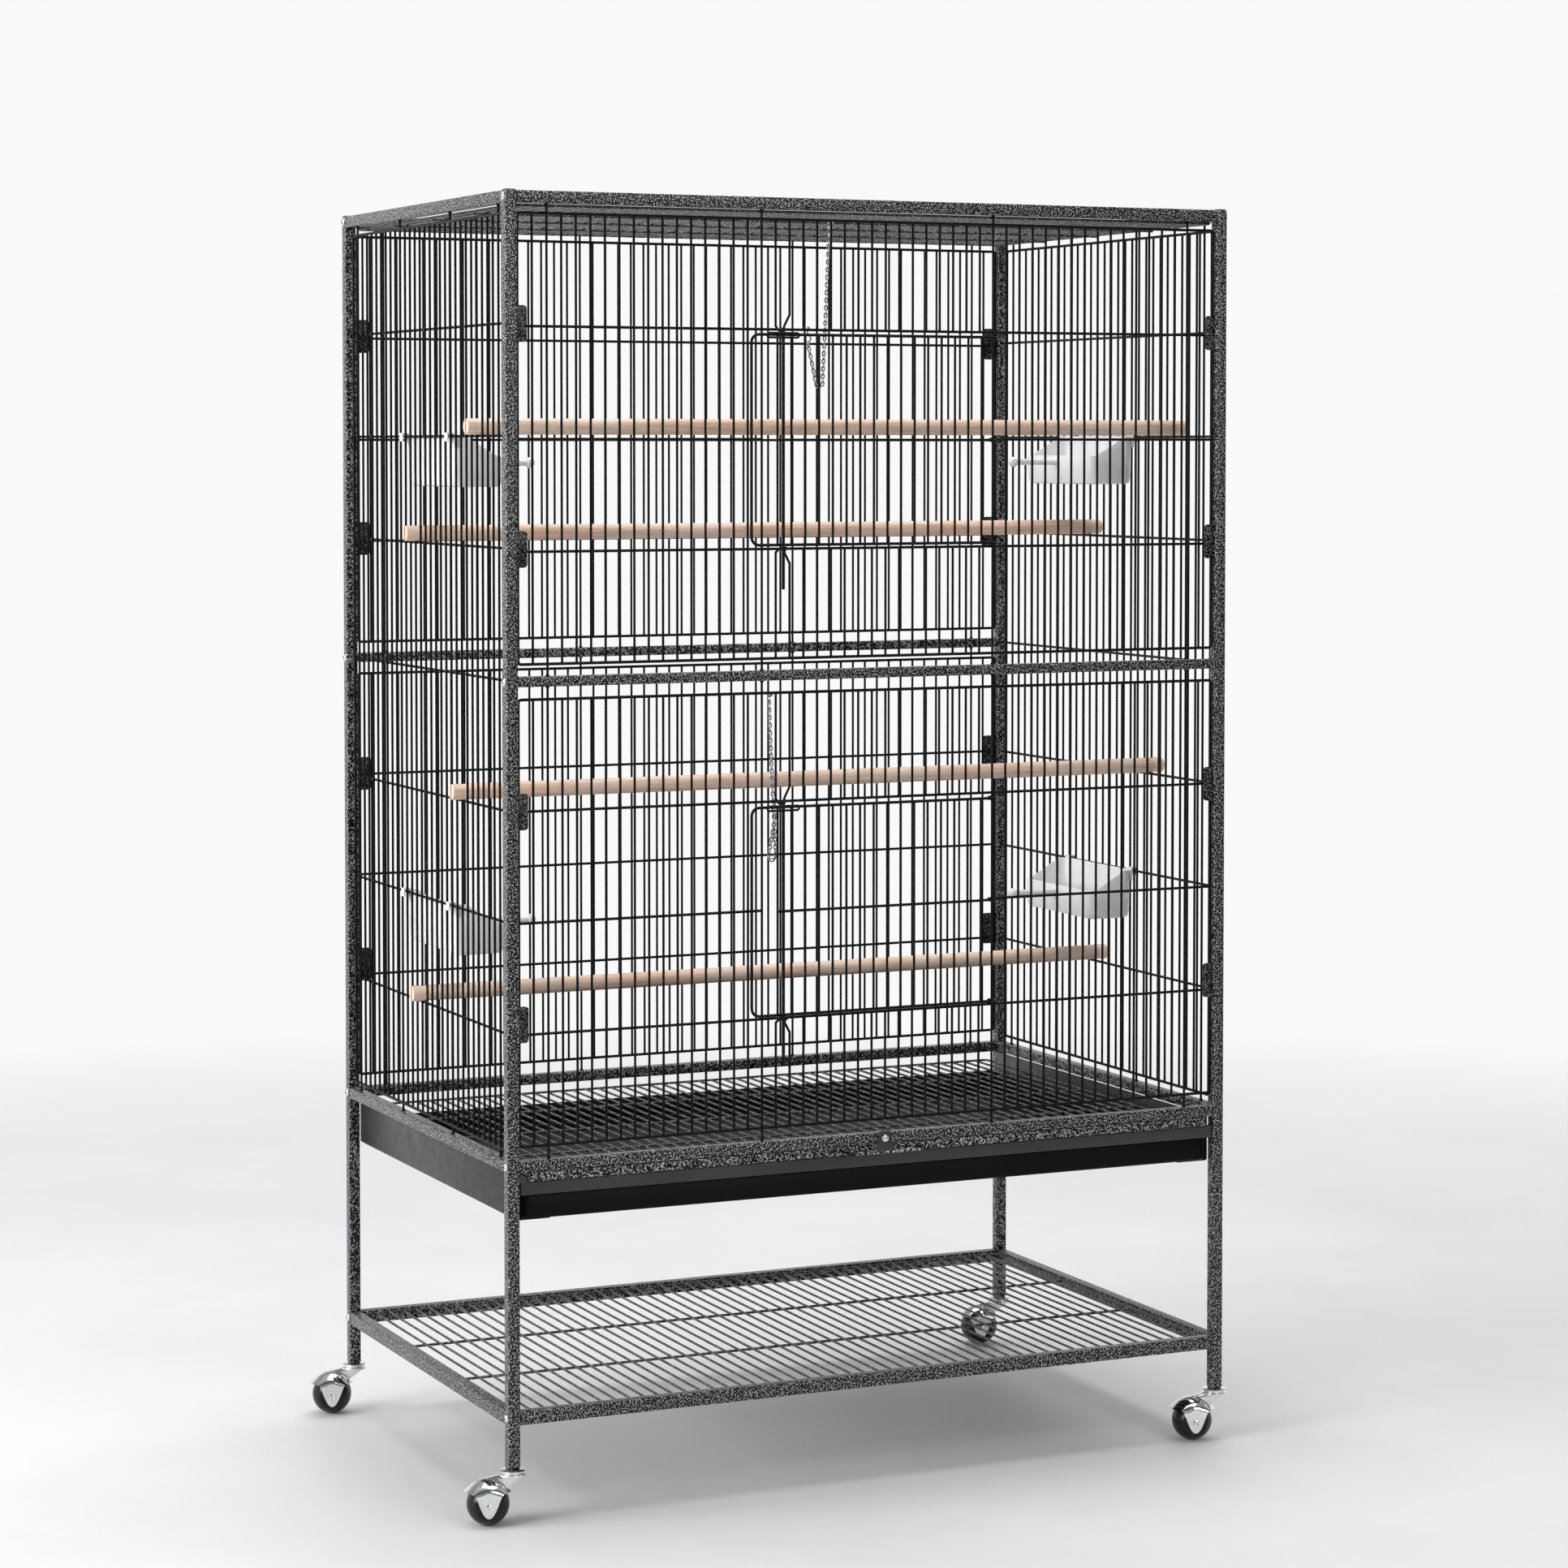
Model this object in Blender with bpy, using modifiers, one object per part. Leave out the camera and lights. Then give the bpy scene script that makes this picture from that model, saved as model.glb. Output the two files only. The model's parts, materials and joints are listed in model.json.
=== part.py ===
"""Bird cage on a wheeled stand. Units are metres, +Z is up, the doors face -Y.

The origin is on the floor, in the middle of the four posts."""
import math

import bmesh
import bpy
from mathutils import Matrix, Vector

for old in list(bpy.data.objects):
    bpy.data.objects.remove(old, do_unlink=True)

PARTS = bpy.data.collections.new("bird_cage")
CUTTERS = bpy.data.collections.new("cutters")
for group in (PARTS, CUTTERS):
    bpy.context.scene.collection.children.link(group)

# ---------------------------------------------------------------- driving sizes
HW, HD, TUBE = 0.400, 0.250, 0.012  # half width, half depth, square tube
GAP = 0.0003  # clearance between separate parts
Z_POST = (0.0545, 1.2920)
Z_TOP = (1.2790, 1.2910)
Z_MID = (0.8135, 0.8235)
Z_BASE = (0.3430, 0.3540)
Z_SHELF = (0.0966, 0.1100)
CHANNEL_X, CHANNEL_Z = 0.3877, 0.2945  # outer face and bottom of the tray's channels
INX, INY = HW - TUBE - GAP, HD - TUBE - GAP  # ends of the rails
XS, YF = HW - TUBE / 2, HD - TUBE / 2  # middle planes of the side and front panels
UPRIGHT, CROSS = 0.0022, 0.0028  # wire sizes
HALF = UPRIGHT / 2
PITCH_X, PITCH_Y = 0.015137, 0.0153  # spacing of the uprights, front and side
FRONT_X = [PITCH_X * (i - 25.5) for i in range(52)]
SIDE_Y = [PITCH_Y * (i - 15) for i in range(31)]
FRONT_PINS = [FRONT_X[i] for i in (2, 17, 34, 49)]  # uprights that run on to the rails
SIDE_PINS = [SIDE_Y[i] for i in (1, 10, 20, 29)]
DOORWAY = (18, 34)  # first upright in the doorway, and the one after the last
ROWS = {"upper": [0.8352 + 0.1086 * i for i in range(5)],
        "lower": [0.3674 + 0.1084 * i for i in range(5)]}
RAILS = {"upper": (Z_MID[1] + GAP, Z_TOP[0] - GAP), "lower": (Z_BASE[1] + GAP, Z_MID[0] - GAP)}
SIDE_ROWS = [0.3620, 0.4755, 0.5840, 0.6925, 0.8190, 0.9470, 1.0555, 1.1640, 1.2696]
TAB_Z = {"upper": ((1.1460, 1.1805), (0.9290, 0.9635)), "lower": ((0.6750, 0.7105), (0.4690, 0.5035))}
BACK_TAB = 0.0165  # width of the corner tabs on the back panels
CORNERS = ((-1, -1, "front_left"), (1, -1, "front_right"), (-1, 1, "back_left"), (1, 1, "back_right"))
SIDES = ((-1, "left"), (1, "right"))


# ---------------------------------------------------------------- solids
def taken(bm):
    """Corners and faces of a bmesh, its normals outwards."""
    bmesh.ops.recalc_face_normals(bm, faces=bm.faces[:])
    bm.verts.index_update()
    data = [q.co.copy() for q in bm.verts], [tuple(q.index for q in g.verts) for g in bm.faces]
    bm.free()
    return data


def block(x0, x1, y0, y1, z0, z1):
    bm = bmesh.new()
    middle = Vector(((x0 + x1) / 2, (y0 + y1) / 2, (z0 + z1) / 2))
    size = Vector((abs(x1 - x0), abs(y1 - y0), abs(z1 - z0)))
    bmesh.ops.create_cube(bm, size=1, matrix=Matrix.Translation(middle) @ Matrix.Diagonal(size.to_4d()))
    return taken(bm)


def rod(start, end, radius, sides):
    """Straight round bar between two points."""
    a, b = Vector(start), Vector(end)
    aim = Vector((0, 0, 1)).rotation_difference(b - a).to_matrix().to_4x4()
    bm = bmesh.new()
    bmesh.ops.create_cone(bm, cap_ends=True, segments=sides, radius1=radius, radius2=radius,
                          depth=(b - a).length, matrix=Matrix.Translation((a + b) / 2) @ aim)
    return taken(bm)


def slab(outline, y0, y1):
    """Outline of (x, z) points pushed from y0 to y1."""
    bm = bmesh.new()
    face = bm.faces.new([bm.verts.new((x, y0, z)) for x, z in outline])
    pushed = bmesh.ops.extrude_face_region(bm, geom=[face])["geom"]
    corners = [g for g in pushed if isinstance(g, bmesh.types.BMVert)]
    bmesh.ops.translate(bm, verts=corners, vec=(0, y1 - y0, 0))
    return taken(bm)


def turned_shape(profile, sides):
    """Closed profile of (radius, height) points turned about Z."""
    me = bpy.data.meshes.new("profile")
    n = len(profile)
    me.from_pydata([(r, 0, z) for r, z in profile], [(i, (i + 1) % n) for i in range(n)], [])
    ob = bpy.data.objects.new("profile", me)
    CUTTERS.objects.link(ob)
    screw = ob.modifiers.new("turn", "SCREW")
    screw.steps = screw.render_steps = sides
    screw.use_merge_vertices, screw.merge_threshold = True, 0.00001
    bm = bmesh.new()
    bm.from_object(ob, bpy.context.evaluated_depsgraph_get())
    bpy.data.objects.remove(ob, do_unlink=True)
    bmesh.ops.remove_doubles(bm, verts=bm.verts[:], dist=0.00001)
    bmesh.ops.delete(bm, geom=[e for e in bm.edges if not e.link_faces], context="EDGES")
    return taken(bm)


def moved(data, matrix):
    return [matrix @ q for q in data[0]], data[1]


def mesh_object(name, parts, group=PARTS):
    corners, faces = [], []
    for part_corners, part_faces in parts:
        first = len(corners)
        corners += part_corners
        faces += [tuple(i + first for i in q) for q in part_faces]
    me = bpy.data.meshes.new(name)
    me.from_pydata([tuple(q) for q in corners], [], faces)
    ob = bpy.data.objects.new(name, me)
    group.objects.link(ob)
    return ob


def combine(name, base, steps):
    """Start from disjoint solids, then apply Boolean steps of (operation, disjoint solids)."""
    ob = mesh_object(name, base)
    for operation, parts in steps:
        tool = mesh_object("tool", parts, CUTTERS)
        md = ob.modifiers.new("step", "BOOLEAN")
        md.operation, md.solver, md.object = operation, "EXACT", tool
        me = bpy.data.meshes.new_from_object(ob.evaluated_get(bpy.context.evaluated_depsgraph_get()))
        ob.modifiers.clear()
        ob.data = me
        bpy.data.objects.remove(tool, do_unlink=True)
    ob.data.name = name
    return ob


def settle(ob, origin, parent=None):
    """Put the object's origin at a point, a moving part's on its joint's axis, and parent it."""
    origin = Vector(origin)
    ob.data.transform(Matrix.Translation(-origin))
    ob.location = origin
    if parent:
        ob.parent = parent
        ob.location = origin - parent.location
    return ob


def settle_middle(ob):
    corners = [q.co for q in ob.data.vertices]
    middle = [(min(q[k] for q in corners) + max(q[k] for q in corners)) / 2 for k in range(3)]
    return settle(ob, middle)


# ---------------------------------------------------------------- finishes
FINISHES = {  # slot: colour, metallic, roughness
    "hammered_paint": ((0.09, 0.09, 0.095), 0.3, 0.35),
    "wire_paint": ((0.03, 0.03, 0.032), 0.2, 0.35),
    "chain_steel": ((0.75, 0.75, 0.76), 1.0, 0.25),
    "wood": ((0.72, 0.55, 0.38), 0.0, 0.6),
    "tray_plastic": ((0.035, 0.037, 0.04), 0.0, 0.45),
    "feeder_plastic": ((0.86, 0.87, 0.87), 0.0, 0.3),
    "chrome": ((0.8, 0.8, 0.82), 1.0, 0.12),
    "wheel_plastic": ((0.015, 0.015, 0.016), 0.0, 0.3),
}
MATERIALS = {}
for slot, (colour, metallic, roughness) in FINISHES.items():
    m = bpy.data.materials.new(slot)
    m.use_nodes = True
    shader = m.node_tree.nodes["Principled BSDF"]
    shader.inputs["Base Color"].default_value = (*colour, 1)
    shader.inputs["Metallic"].default_value = metallic
    shader.inputs["Roughness"].default_value = roughness
    m.diffuse_color = (*colour, 1)
    MATERIALS[slot] = m


def finish(ob, slot):
    ob.data.materials.clear()
    ob.data.materials.append(MATERIALS[slot])
    return ob


# ---------------------------------------------------------------- frame tubes
SCREW_Z = (1.2850, 0.8185, 0.3485, 0.1033)
SCREW_RADIUS, SCREW_HEIGHT = 0.0038, 0.0016


def post(sx, sy, name):
    x, y, h = sx * XS, sy * YF, TUBE / 2
    heads = [rod((sx * (HW - 0.0010), y, z), (sx * (HW + SCREW_HEIGHT), y, z), SCREW_RADIUS, 8)
             for z in SCREW_Z]
    tube = block(x - h, x + h, y - h, y + h, *Z_POST)
    ob = combine("post_" + name, [tube], [("UNION", heads)])
    settle_middle(finish(ob, "hammered_paint"))


def rails():
    for sy, side in ((-1, "front"), (1, "back")):
        for kind, height in (("top", Z_TOP), ("middle", Z_MID), ("base", Z_BASE), ("shelf", Z_SHELF)):
            tube = block(-INX, INX, sy * HD, sy * (HD - TUBE), *height)
            ob = mesh_object("%s_rail_%s" % (kind, side), [tube])
            settle_middle(finish(ob, "hammered_paint"))
    for sx, side in SIDES:
        for kind, height in (("top", Z_TOP), ("base", Z_BASE), ("shelf", Z_SHELF)):
            tube = block(sx * HW, sx * (HW - TUBE), -INY, INY, *height)
            ob = mesh_object("%s_rail_%s" % (kind, side), [tube])
            settle_middle(finish(ob, "hammered_paint"))


def tray_channel(sx, side):
    """Plate beside the tray, between the posts, with an inward flange that carries the tray."""
    plate = block(sx * CHANNEL_X, sx * (CHANNEL_X - 0.0014), -INY, INY, CHANNEL_Z, Z_BASE[0] - GAP)
    flange = block(sx * (CHANNEL_X - 0.0004), sx * 0.3520, -INY + 0.0005, INY - 0.0005,
                   CHANNEL_Z + 0.0002, CHANNEL_Z + 0.0014)
    ob = combine("tray_channel_" + side, [plate], [("UNION", [flange])])
    settle_middle(finish(ob, "hammered_paint"))


# ---------------------------------------------------------------- wire grids
def to_front(u0, u1, v0, v1, d0, d1):
    """Block in the front panel's plane: u along X, v up, d into the cage."""
    return block(u0, u1, -YF + d0, -YF + d1, v0, v1)


def to_back(u0, u1, v0, v1, d0, d1):
    return block(u0, u1, YF - d1, YF - d0, v0, v1)


def to_side(sx):
    return lambda u0, u1, v0, v1, d0, d1: block(sx * (XS - d0), sx * (XS - d1), u0, u1, v0, v1)


def to_level(z):
    """Level grid: u along X, v along Y, d downwards."""
    return lambda u0, u1, v0, v1, d0, d1: block(u0, u1, v0, v1, z - d1, z - d0)


def grid(name, put, uprights, ends, inner=(), longer=(), tabs=(), overhang=CROSS / 2):
    """Uprights, two cross wires in their plane at the ends, and inner cross wires just behind them.

    longer maps an upright's place to its own ends, and tabs are plates given as (u0, u1, v0, v1).
    The inner cross wires join the second uprights from each side, which are deeper for that."""
    own_ends = dict(longer)
    bars = []
    for u in uprights:
        deep = 0.0036 if inner and u in (uprights[1], uprights[-2]) else HALF
        bars.append(put(u - HALF, u + HALF, *own_ends.get(u, ends), -HALF, deep))
    first, last = uprights[0], uprights[-1]
    h = CROSS / 2
    more = [put(first - overhang, last + overhang, v - h, v + h, -h, h) for v in ends]
    more += [put(first - 0.0009, last + 0.0009, v - HALF, v + HALF, 0.0014, 0.0034) for v in inner]
    more += [put(*tab, -0.0023, -0.0002) for tab in tabs]
    settle_middle(finish(combine(name, bars, [("UNION", more)]), "wire_paint"))


def front_and_back(tier):
    rows = ROWS[tier]
    longer = {u: RAILS[tier] for u in FRONT_PINS}
    a, b = DOORWAY
    left, right = FRONT_X[0], FRONT_X[-1]
    tabs_left = [(left - 0.0017, left + 0.0095, *height) for height in TAB_Z[tier]]
    tabs_right = [(right - 0.0095, right + 0.0017, *height) for height in TAB_Z[tier]]
    tabs_back = []
    for height in TAB_Z[tier]:
        tabs_back.append((left - 0.0017, left + BACK_TAB - 0.0017, *height))
        tabs_back.append((right + 0.0017 - BACK_TAB, right + 0.0017, *height))
    name = "front_panel_" + tier
    beside = 0.0124  # the short grids over and under the door reach the next uprights
    grid(name + "_left", to_front, FRONT_X[:a], (rows[0], rows[4]), rows[1:4], longer, tabs_left)
    grid(name + "_right", to_front, FRONT_X[b:], (rows[0], rows[4]), rows[1:4], longer, tabs_right)
    grid(name + "_above_door", to_front, FRONT_X[a:b], (rows[3], rows[4]), overhang=beside)
    grid(name + "_below_door", to_front, FRONT_X[a:b], (rows[0], rows[1]), overhang=beside)
    grid("back_panel_" + tier, to_back, FRONT_X, (rows[0], rows[4]), rows[1:4], longer, tabs_back)


def side_panel(sx, side):
    longer = {u: (Z_BASE[1] + GAP, Z_TOP[0] - GAP) for u in SIDE_PINS}
    ends = (SIDE_ROWS[0], SIDE_ROWS[-1])
    grid("side_panel_" + side, to_side(sx), SIDE_Y, ends, SIDE_ROWS[1:-1], longer, overhang=0.0050)


# ---------------------------------------------------------------- grate, tray, lock tab
TAB_X, TAB_SCREW_Z, TAB_Z_LOW = 0.0040, 0.3485, 0.3362  # lock tab's middle, screw and lower edge
GRATE_HALF = 0.3780


def grate():
    """Pull-out grille: a front bar with a pull, and wires low enough to pass under the lock tab."""
    z0, z1 = TAB_Z_LOW - 0.0024, TAB_Z_LOW - GAP
    lengthways = [PITCH_X * (i - 24) for i in range(0, 49, 2)]
    wires = [block(u - HALF, u + HALF, -0.2440, 0.2330, z0, z1) for u in lengthways]
    bar = block(-GRATE_HALF, GRATE_HALF, -HD, -0.2420, 0.3335, Z_BASE[0] - GAP)
    back = block(-GRATE_HALF, GRATE_HALF, 0.2318, 0.2346, z0 - 0.0003, z1 + 0.0003)
    edge = lengthways[-1] + 0.0009
    across = [block(-edge, edge, y - HALF, y + HALF, z0 + 0.0005, z1 - 0.0005)
              for y in (-0.12, 0.0, 0.12)]
    legs = [block(x - CROSS / 2, x + CROSS / 2, -0.2635, -0.2490, 0.3372, 0.3398)
            for x in (-0.0440, 0.0320)]
    pull = block(-0.0454, 0.0334, -0.2640, -0.2614, 0.3371, 0.3399)
    notch = block(TAB_X - 0.0112, TAB_X + 0.0112, -0.2530, -0.2410, 0.3356, 0.3500)
    ob = combine("grate", wires, [("UNION", [bar, back]), ("UNION", across), ("DIFFERENCE", [notch]),
                                  ("UNION", legs), ("UNION", [pull])])
    settle(finish(ob, "wire_paint"), (0, -HD, (z0 + z1) / 2))


def tray():
    """Open tray: its floor steps up at the front, where a lip stands higher than the other walls."""
    wall, x1, y0, y1, z0, z1 = 0.0015, 0.3855, -0.2440, 0.2360, 0.2963, 0.3220
    step_y, step_z = -0.2350, 0.3003
    front = block(-x1, x1, y0, step_y + wall, step_z, z1)
    inside_front = block(-x1 + wall, x1 - wall, y0 + wall, -0.2, step_z + wall, z1 + 0.02)
    inside = block(-x1 + wall, x1 - wall, step_y + wall, y1 - wall, z0 + wall, z1 + 0.03)
    lip = block(-0.3868, 0.3868, -0.2490, -0.2428, 0.3205, 0.3331)
    ob = combine("tray", [block(-x1, x1, step_y, y1, z0, z1)],
                 [("UNION", [front]), ("DIFFERENCE", [inside_front]), ("DIFFERENCE", [inside]),
                  ("UNION", [lip])])
    settle(finish(ob, "tray_plastic"), (0, -0.2490, z0))


def lock_tab():
    outline = [(-0.0100, TAB_Z_LOW), (0.0100, TAB_Z_LOW), (0.0060, 0.3560), (-0.0060, 0.3560)]
    plate = slab([(TAB_X + x, z) for x, z in outline], -0.2523, -0.2512)
    head = rod((TAB_X, -0.2518, TAB_SCREW_Z), (TAB_X, -0.2546, TAB_SCREW_Z), 0.0037, 10)
    ob = combine("lock_tab", [plate], [("UNION", [head])])
    settle(finish(ob, "hammered_paint"), (TAB_X, -0.2518, TAB_SCREW_Z))


# ---------------------------------------------------------------- doors and bolts
HINGE_X = FRONT_X[DOORWAY[1]]
DOOR_OUT = 0.0045  # how far the door lies in front of the panel
DOOR_LEFT = -0.1415


def door(tier):
    bottom, top = ROWS[tier][1] + 0.0040, ROWS[tier][3] - 0.0052
    middle = (bottom + top) / 2
    y = -YF - DOOR_OUT

    def put(u0, u1, v0, v1, d0, d1):
        return block(u0, u1, y + d0, y + d1, v0, v1)

    uprights = FRONT_X[DOORWAY[0]:DOORWAY[1]]
    bars = [put(DOOR_LEFT - HALF, DOOR_LEFT + HALF, bottom, top, -HALF, HALF)]
    for u in uprights:
        deep = 0.0034 if u in (uprights[0], uprights[-1]) else HALF
        bars.append(put(u - HALF, u + HALF, bottom, top, -deep, HALF))
    last = uprights[-1]
    h = CROSS / 2
    across = [put(DOOR_LEFT - h, last + 0.0035, z - h, z + h, -h, h) for z in (bottom, top)]
    across.append(put(uprights[0] - 0.0009, last + 0.0009,
                      middle - HALF, middle + HALF, -0.0033, -0.0014))
    arms, rings, bores = [], [], []
    for z in (bottom + 0.0150, top - 0.0150):
        arms.append(put(last, HINGE_X - 0.0020, z - 0.0012, z + 0.0012, -0.0010, 0.0012))
        rings.append(rod((HINGE_X, -YF, z - 0.0024), (HINGE_X, -YF, z + 0.0024), 0.0052, 12))
        bores.append(rod((HINGE_X, -YF, z - 0.0050), (HINGE_X, -YF, z + 0.0050), 0.0021, 12))
    steps = [("UNION", across), ("UNION", arms), ("UNION", rings), ("DIFFERENCE", bores)]
    ob = combine("door_" + tier, bars, steps)
    settle(finish(ob, "wire_paint"), (HINGE_X, -YF, middle))
    bolt(tier, ob, bottom, top)


def bolt(tier, door_object, bottom, top):
    """Rod in front of the door, with a cross loop at its top."""
    x, y, r = -0.1100, -0.2545, 0.0017
    upright = block(x - r, x + r, y - r, y + r, bottom - 0.0440, top + 0.0070)
    loop = block(x - 0.0185, x + 0.0185, y - 0.0013, y + 0.0013, top - 0.0015, top + 0.0011)
    ob = combine("bolt_" + tier, [upright], [("UNION", [loop])])
    settle(finish(ob, "wire_paint"), (x, y, top), door_object)


# ---------------------------------------------------------------- chains, perches, feeders
def chain(tier, top, low, clasp):
    """Strand that hangs from the panel's top wire, turns round and comes up to its clasp."""
    y, radius, turn = -0.2375, 0.0014, 0.0034
    bend = [math.pi * i / 6 for i in range(7)]
    loop = [(low[0] + turn * math.cos(a), low[1] + turn - turn * math.sin(a)) for a in bend]
    route = [top] + loop + [clasp]
    curve = bpy.data.curves.new("chain_" + tier, "CURVE")
    curve.dimensions, curve.bevel_depth, curve.bevel_resolution, curve.use_fill_caps = "3D", radius, 2, True
    line = curve.splines.new("POLY")
    line.points.add(len(route) - 1)
    for point, (x, z) in zip(line.points, route):
        point.co = (x - top[0], 0, z - top[1], 1)
    ob = bpy.data.objects.new("chain_" + tier, curve)
    ob.location = (top[0], y, top[1])
    PARTS.objects.link(ob)
    curve.materials.append(MATERIALS["chain_steel"])


def perch(tag, wire, row):
    """Dowel on the cross wires, its slotted ends astride one upright of each side panel."""
    radius, end, y = 0.0080, 0.4060, SIDE_Y[wire]
    z = row + 0.0014 + radius
    slots = [block(sx * 0.3890, sx * 0.4270, y - 0.0016, y + 0.0016, z - 0.015, z + 0.015)
             for sx in (-1, 1)]
    ob = combine("perch_" + tag, [rod((-end, y, z), (end, y, z), radius, 16)], [("DIFFERENCE", slots)])
    settle(finish(ob, "wood"), (0, y, z))


def feeder(tier, row, sx, side):
    """Cup with a tall back and a low lip, two hooks over the side wire, and a perch rod."""
    back, depth, half, wall = 0.3895, 0.0540, 0.0750, 0.0018
    top = row + 0.0010
    bottom = top - 0.0580
    lip = bottom + 0.0350
    outer = [(0, bottom), (0, top), (0.0100, top), (depth, lip), (depth, bottom)]
    cup = slab([(sx * (back - u), z) for u, z in outer], -half, half)
    inside = block(sx * (back - depth + wall), sx * (back - wall),
                   -half + wall, half - wall, bottom + wall, top + 0.02)
    hooks = ((0.0002, 0.0016, 0.0060, -0.0120, 0.0040), (-0.0055, 0.0010, 0.0045, 0.0020, 0.0038),
             (-0.0057, -0.0041, 0.0044, -0.0040, 0.0030))  # in from the back, half width, height over the wire
    steps = [("DIFFERENCE", [inside])]
    for u0, u1, w, z0, z1 in hooks:
        steps.append(("UNION", [block(sx * (back - u0), sx * (back - u1), y - w, y + w, row + z0, row + z1)
                                for y in (-0.06885, 0.06885)]))
    inner, z = back - depth, lip - 0.0110
    for u0, u1, radius in ((-0.0009, 0.0550, 0.0035), (0.0520, 0.0600, 0.0055)):
        part = rod((sx * (inner - u0), 0, z), (sx * (inner - u1), 0, z), radius, 10)
        steps.append(("UNION", [part]))
    ob = combine("feeder_%s_%s" % (tier, side), [cup], steps)
    settle(finish(ob, "feeder_plastic"), (sx * back, 0, top))


# ---------------------------------------------------------------- castors
BALL, TRAIL, SWING = 0.0210, 0.0240, math.radians(-17.0)


def castor(sx, sy, name):
    """Ball between two tongues of a hood, which an arm holds behind the swivel discs."""
    swivel = Vector((sx * XS, sy * YF, 0))
    spin = Matrix.Translation(swivel) @ Matrix.Rotation(SWING, 4, "Z")
    axle = spin @ Vector((-TRAIL, 0, BALL))
    lie = Matrix.Translation(axle) @ Matrix.Rotation(SWING, 4, "Z") @ Matrix.Rotation(math.pi / 2, 4, "X")

    outer, inner, rim, steps = 0.0245, 0.0226, math.radians(22), 4
    angles = [rim + (math.pi / 2 - rim) * i / steps for i in range(steps)]
    dome = [(outer * math.cos(a), outer * math.sin(a)) for a in angles] + [(0.0, outer), (0.0, inner)]
    dome += [(inner * math.cos(a), inner * math.sin(a)) for a in reversed(angles)]
    dome = moved(turned_shape(dome, 14), Matrix.Translation(axle))
    tongues = [moved(block(-TRAIL - 0.0055, -TRAIL + 0.0055, s * 0.0168, s * 0.0188,
                           BALL - 0.0050, BALL + 0.0153), spin) for s in (-1, 1)]
    stubs = [moved(rod((-TRAIL, s * 0.0140, BALL), (-TRAIL, s * 0.0194, BALL), 0.0020, 14), spin)
             for s in (-1, 1)]
    arm = moved(block(-TRAIL, 0.0, -0.0070, 0.0070, 0.0441, 0.0489), spin)
    spool = [(0.0, 0.0478), (0.0130, 0.0478), (0.0130, 0.0500), (0.0095, 0.0500),
             (0.0095, 0.0520), (0.0130, 0.0520), (0.0130, 0.0542), (0.0, 0.0542)]
    discs = moved(turned_shape(spool, 14), spin)
    hood = combine("castor_hood_" + name, [dome], [("UNION", tongues), ("UNION", stubs), ("UNION", [arm]),
                                                   ("UNION", [discs])])
    settle(finish(hood, "chrome"), swivel + Vector((0, 0, 0.05)))

    flat, bore, depth, steps = 0.0165, 0.0022, 0.0040, 5
    edge = math.asin(flat / BALL)
    angles = [-edge + 2 * edge * i / steps for i in range(steps + 1)]
    ball = [(BALL * math.cos(a), BALL * math.sin(a)) for a in angles]
    ball += [(bore, flat), (bore, flat - depth), (0.0, flat - depth)]
    ball += [(0.0, depth - flat), (bore, depth - flat), (bore, -flat)]
    wheel = mesh_object("wheel_" + name, [moved(turned_shape(ball, 16), lie)])
    settle(finish(wheel, "wheel_plastic"), axle, hood)


# ---------------------------------------------------------------- the cage
for sx, sy, corner in CORNERS:
    post(sx, sy, corner)
    castor(sx, sy, corner)
rails()
for sx, side in SIDES:
    tray_channel(sx, side)
    side_panel(sx, side)
    feeder("upper", SIDE_ROWS[6], sx, side)
    feeder("lower", SIDE_ROWS[2], sx, side)
for tier in ROWS:
    front_and_back(tier)
    door(tier)
grid("roof_grid", to_level(1.2772), FRONT_X[1:51:2], (-0.2405, 0.2405), (-0.1200, 0.0, 0.1200))
grid("shelf_grid", to_level(0.1065), FRONT_X[1:51:2], (-0.2363, 0.2363), (-0.0790, 0.0790),
     overhang=0.0012)
grate()
tray()
lock_tab()
chain("upper", (-0.0520, 1.2680), (-0.0630, 1.1050), (-0.0755, 1.1540))
chain("lower", (-0.1180, 0.7990), (-0.1146, 0.6330), (-0.1110, 0.6840))
perch("a", 5, SIDE_ROWS[6])
perch("b", 17, SIDE_ROWS[5])
perch("c", 8, SIDE_ROWS[3])
perch("d", 16, SIDE_ROWS[1])
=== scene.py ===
"""Looks for the bird cage on its stand: round wires, hammered paint, chains, castors, feeders and perches.

Units are metres, +Z is up and the doors face -Y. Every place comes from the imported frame."""
import json
import math

import bmesh
import bpy
from mathutils import Matrix, Vector


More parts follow.
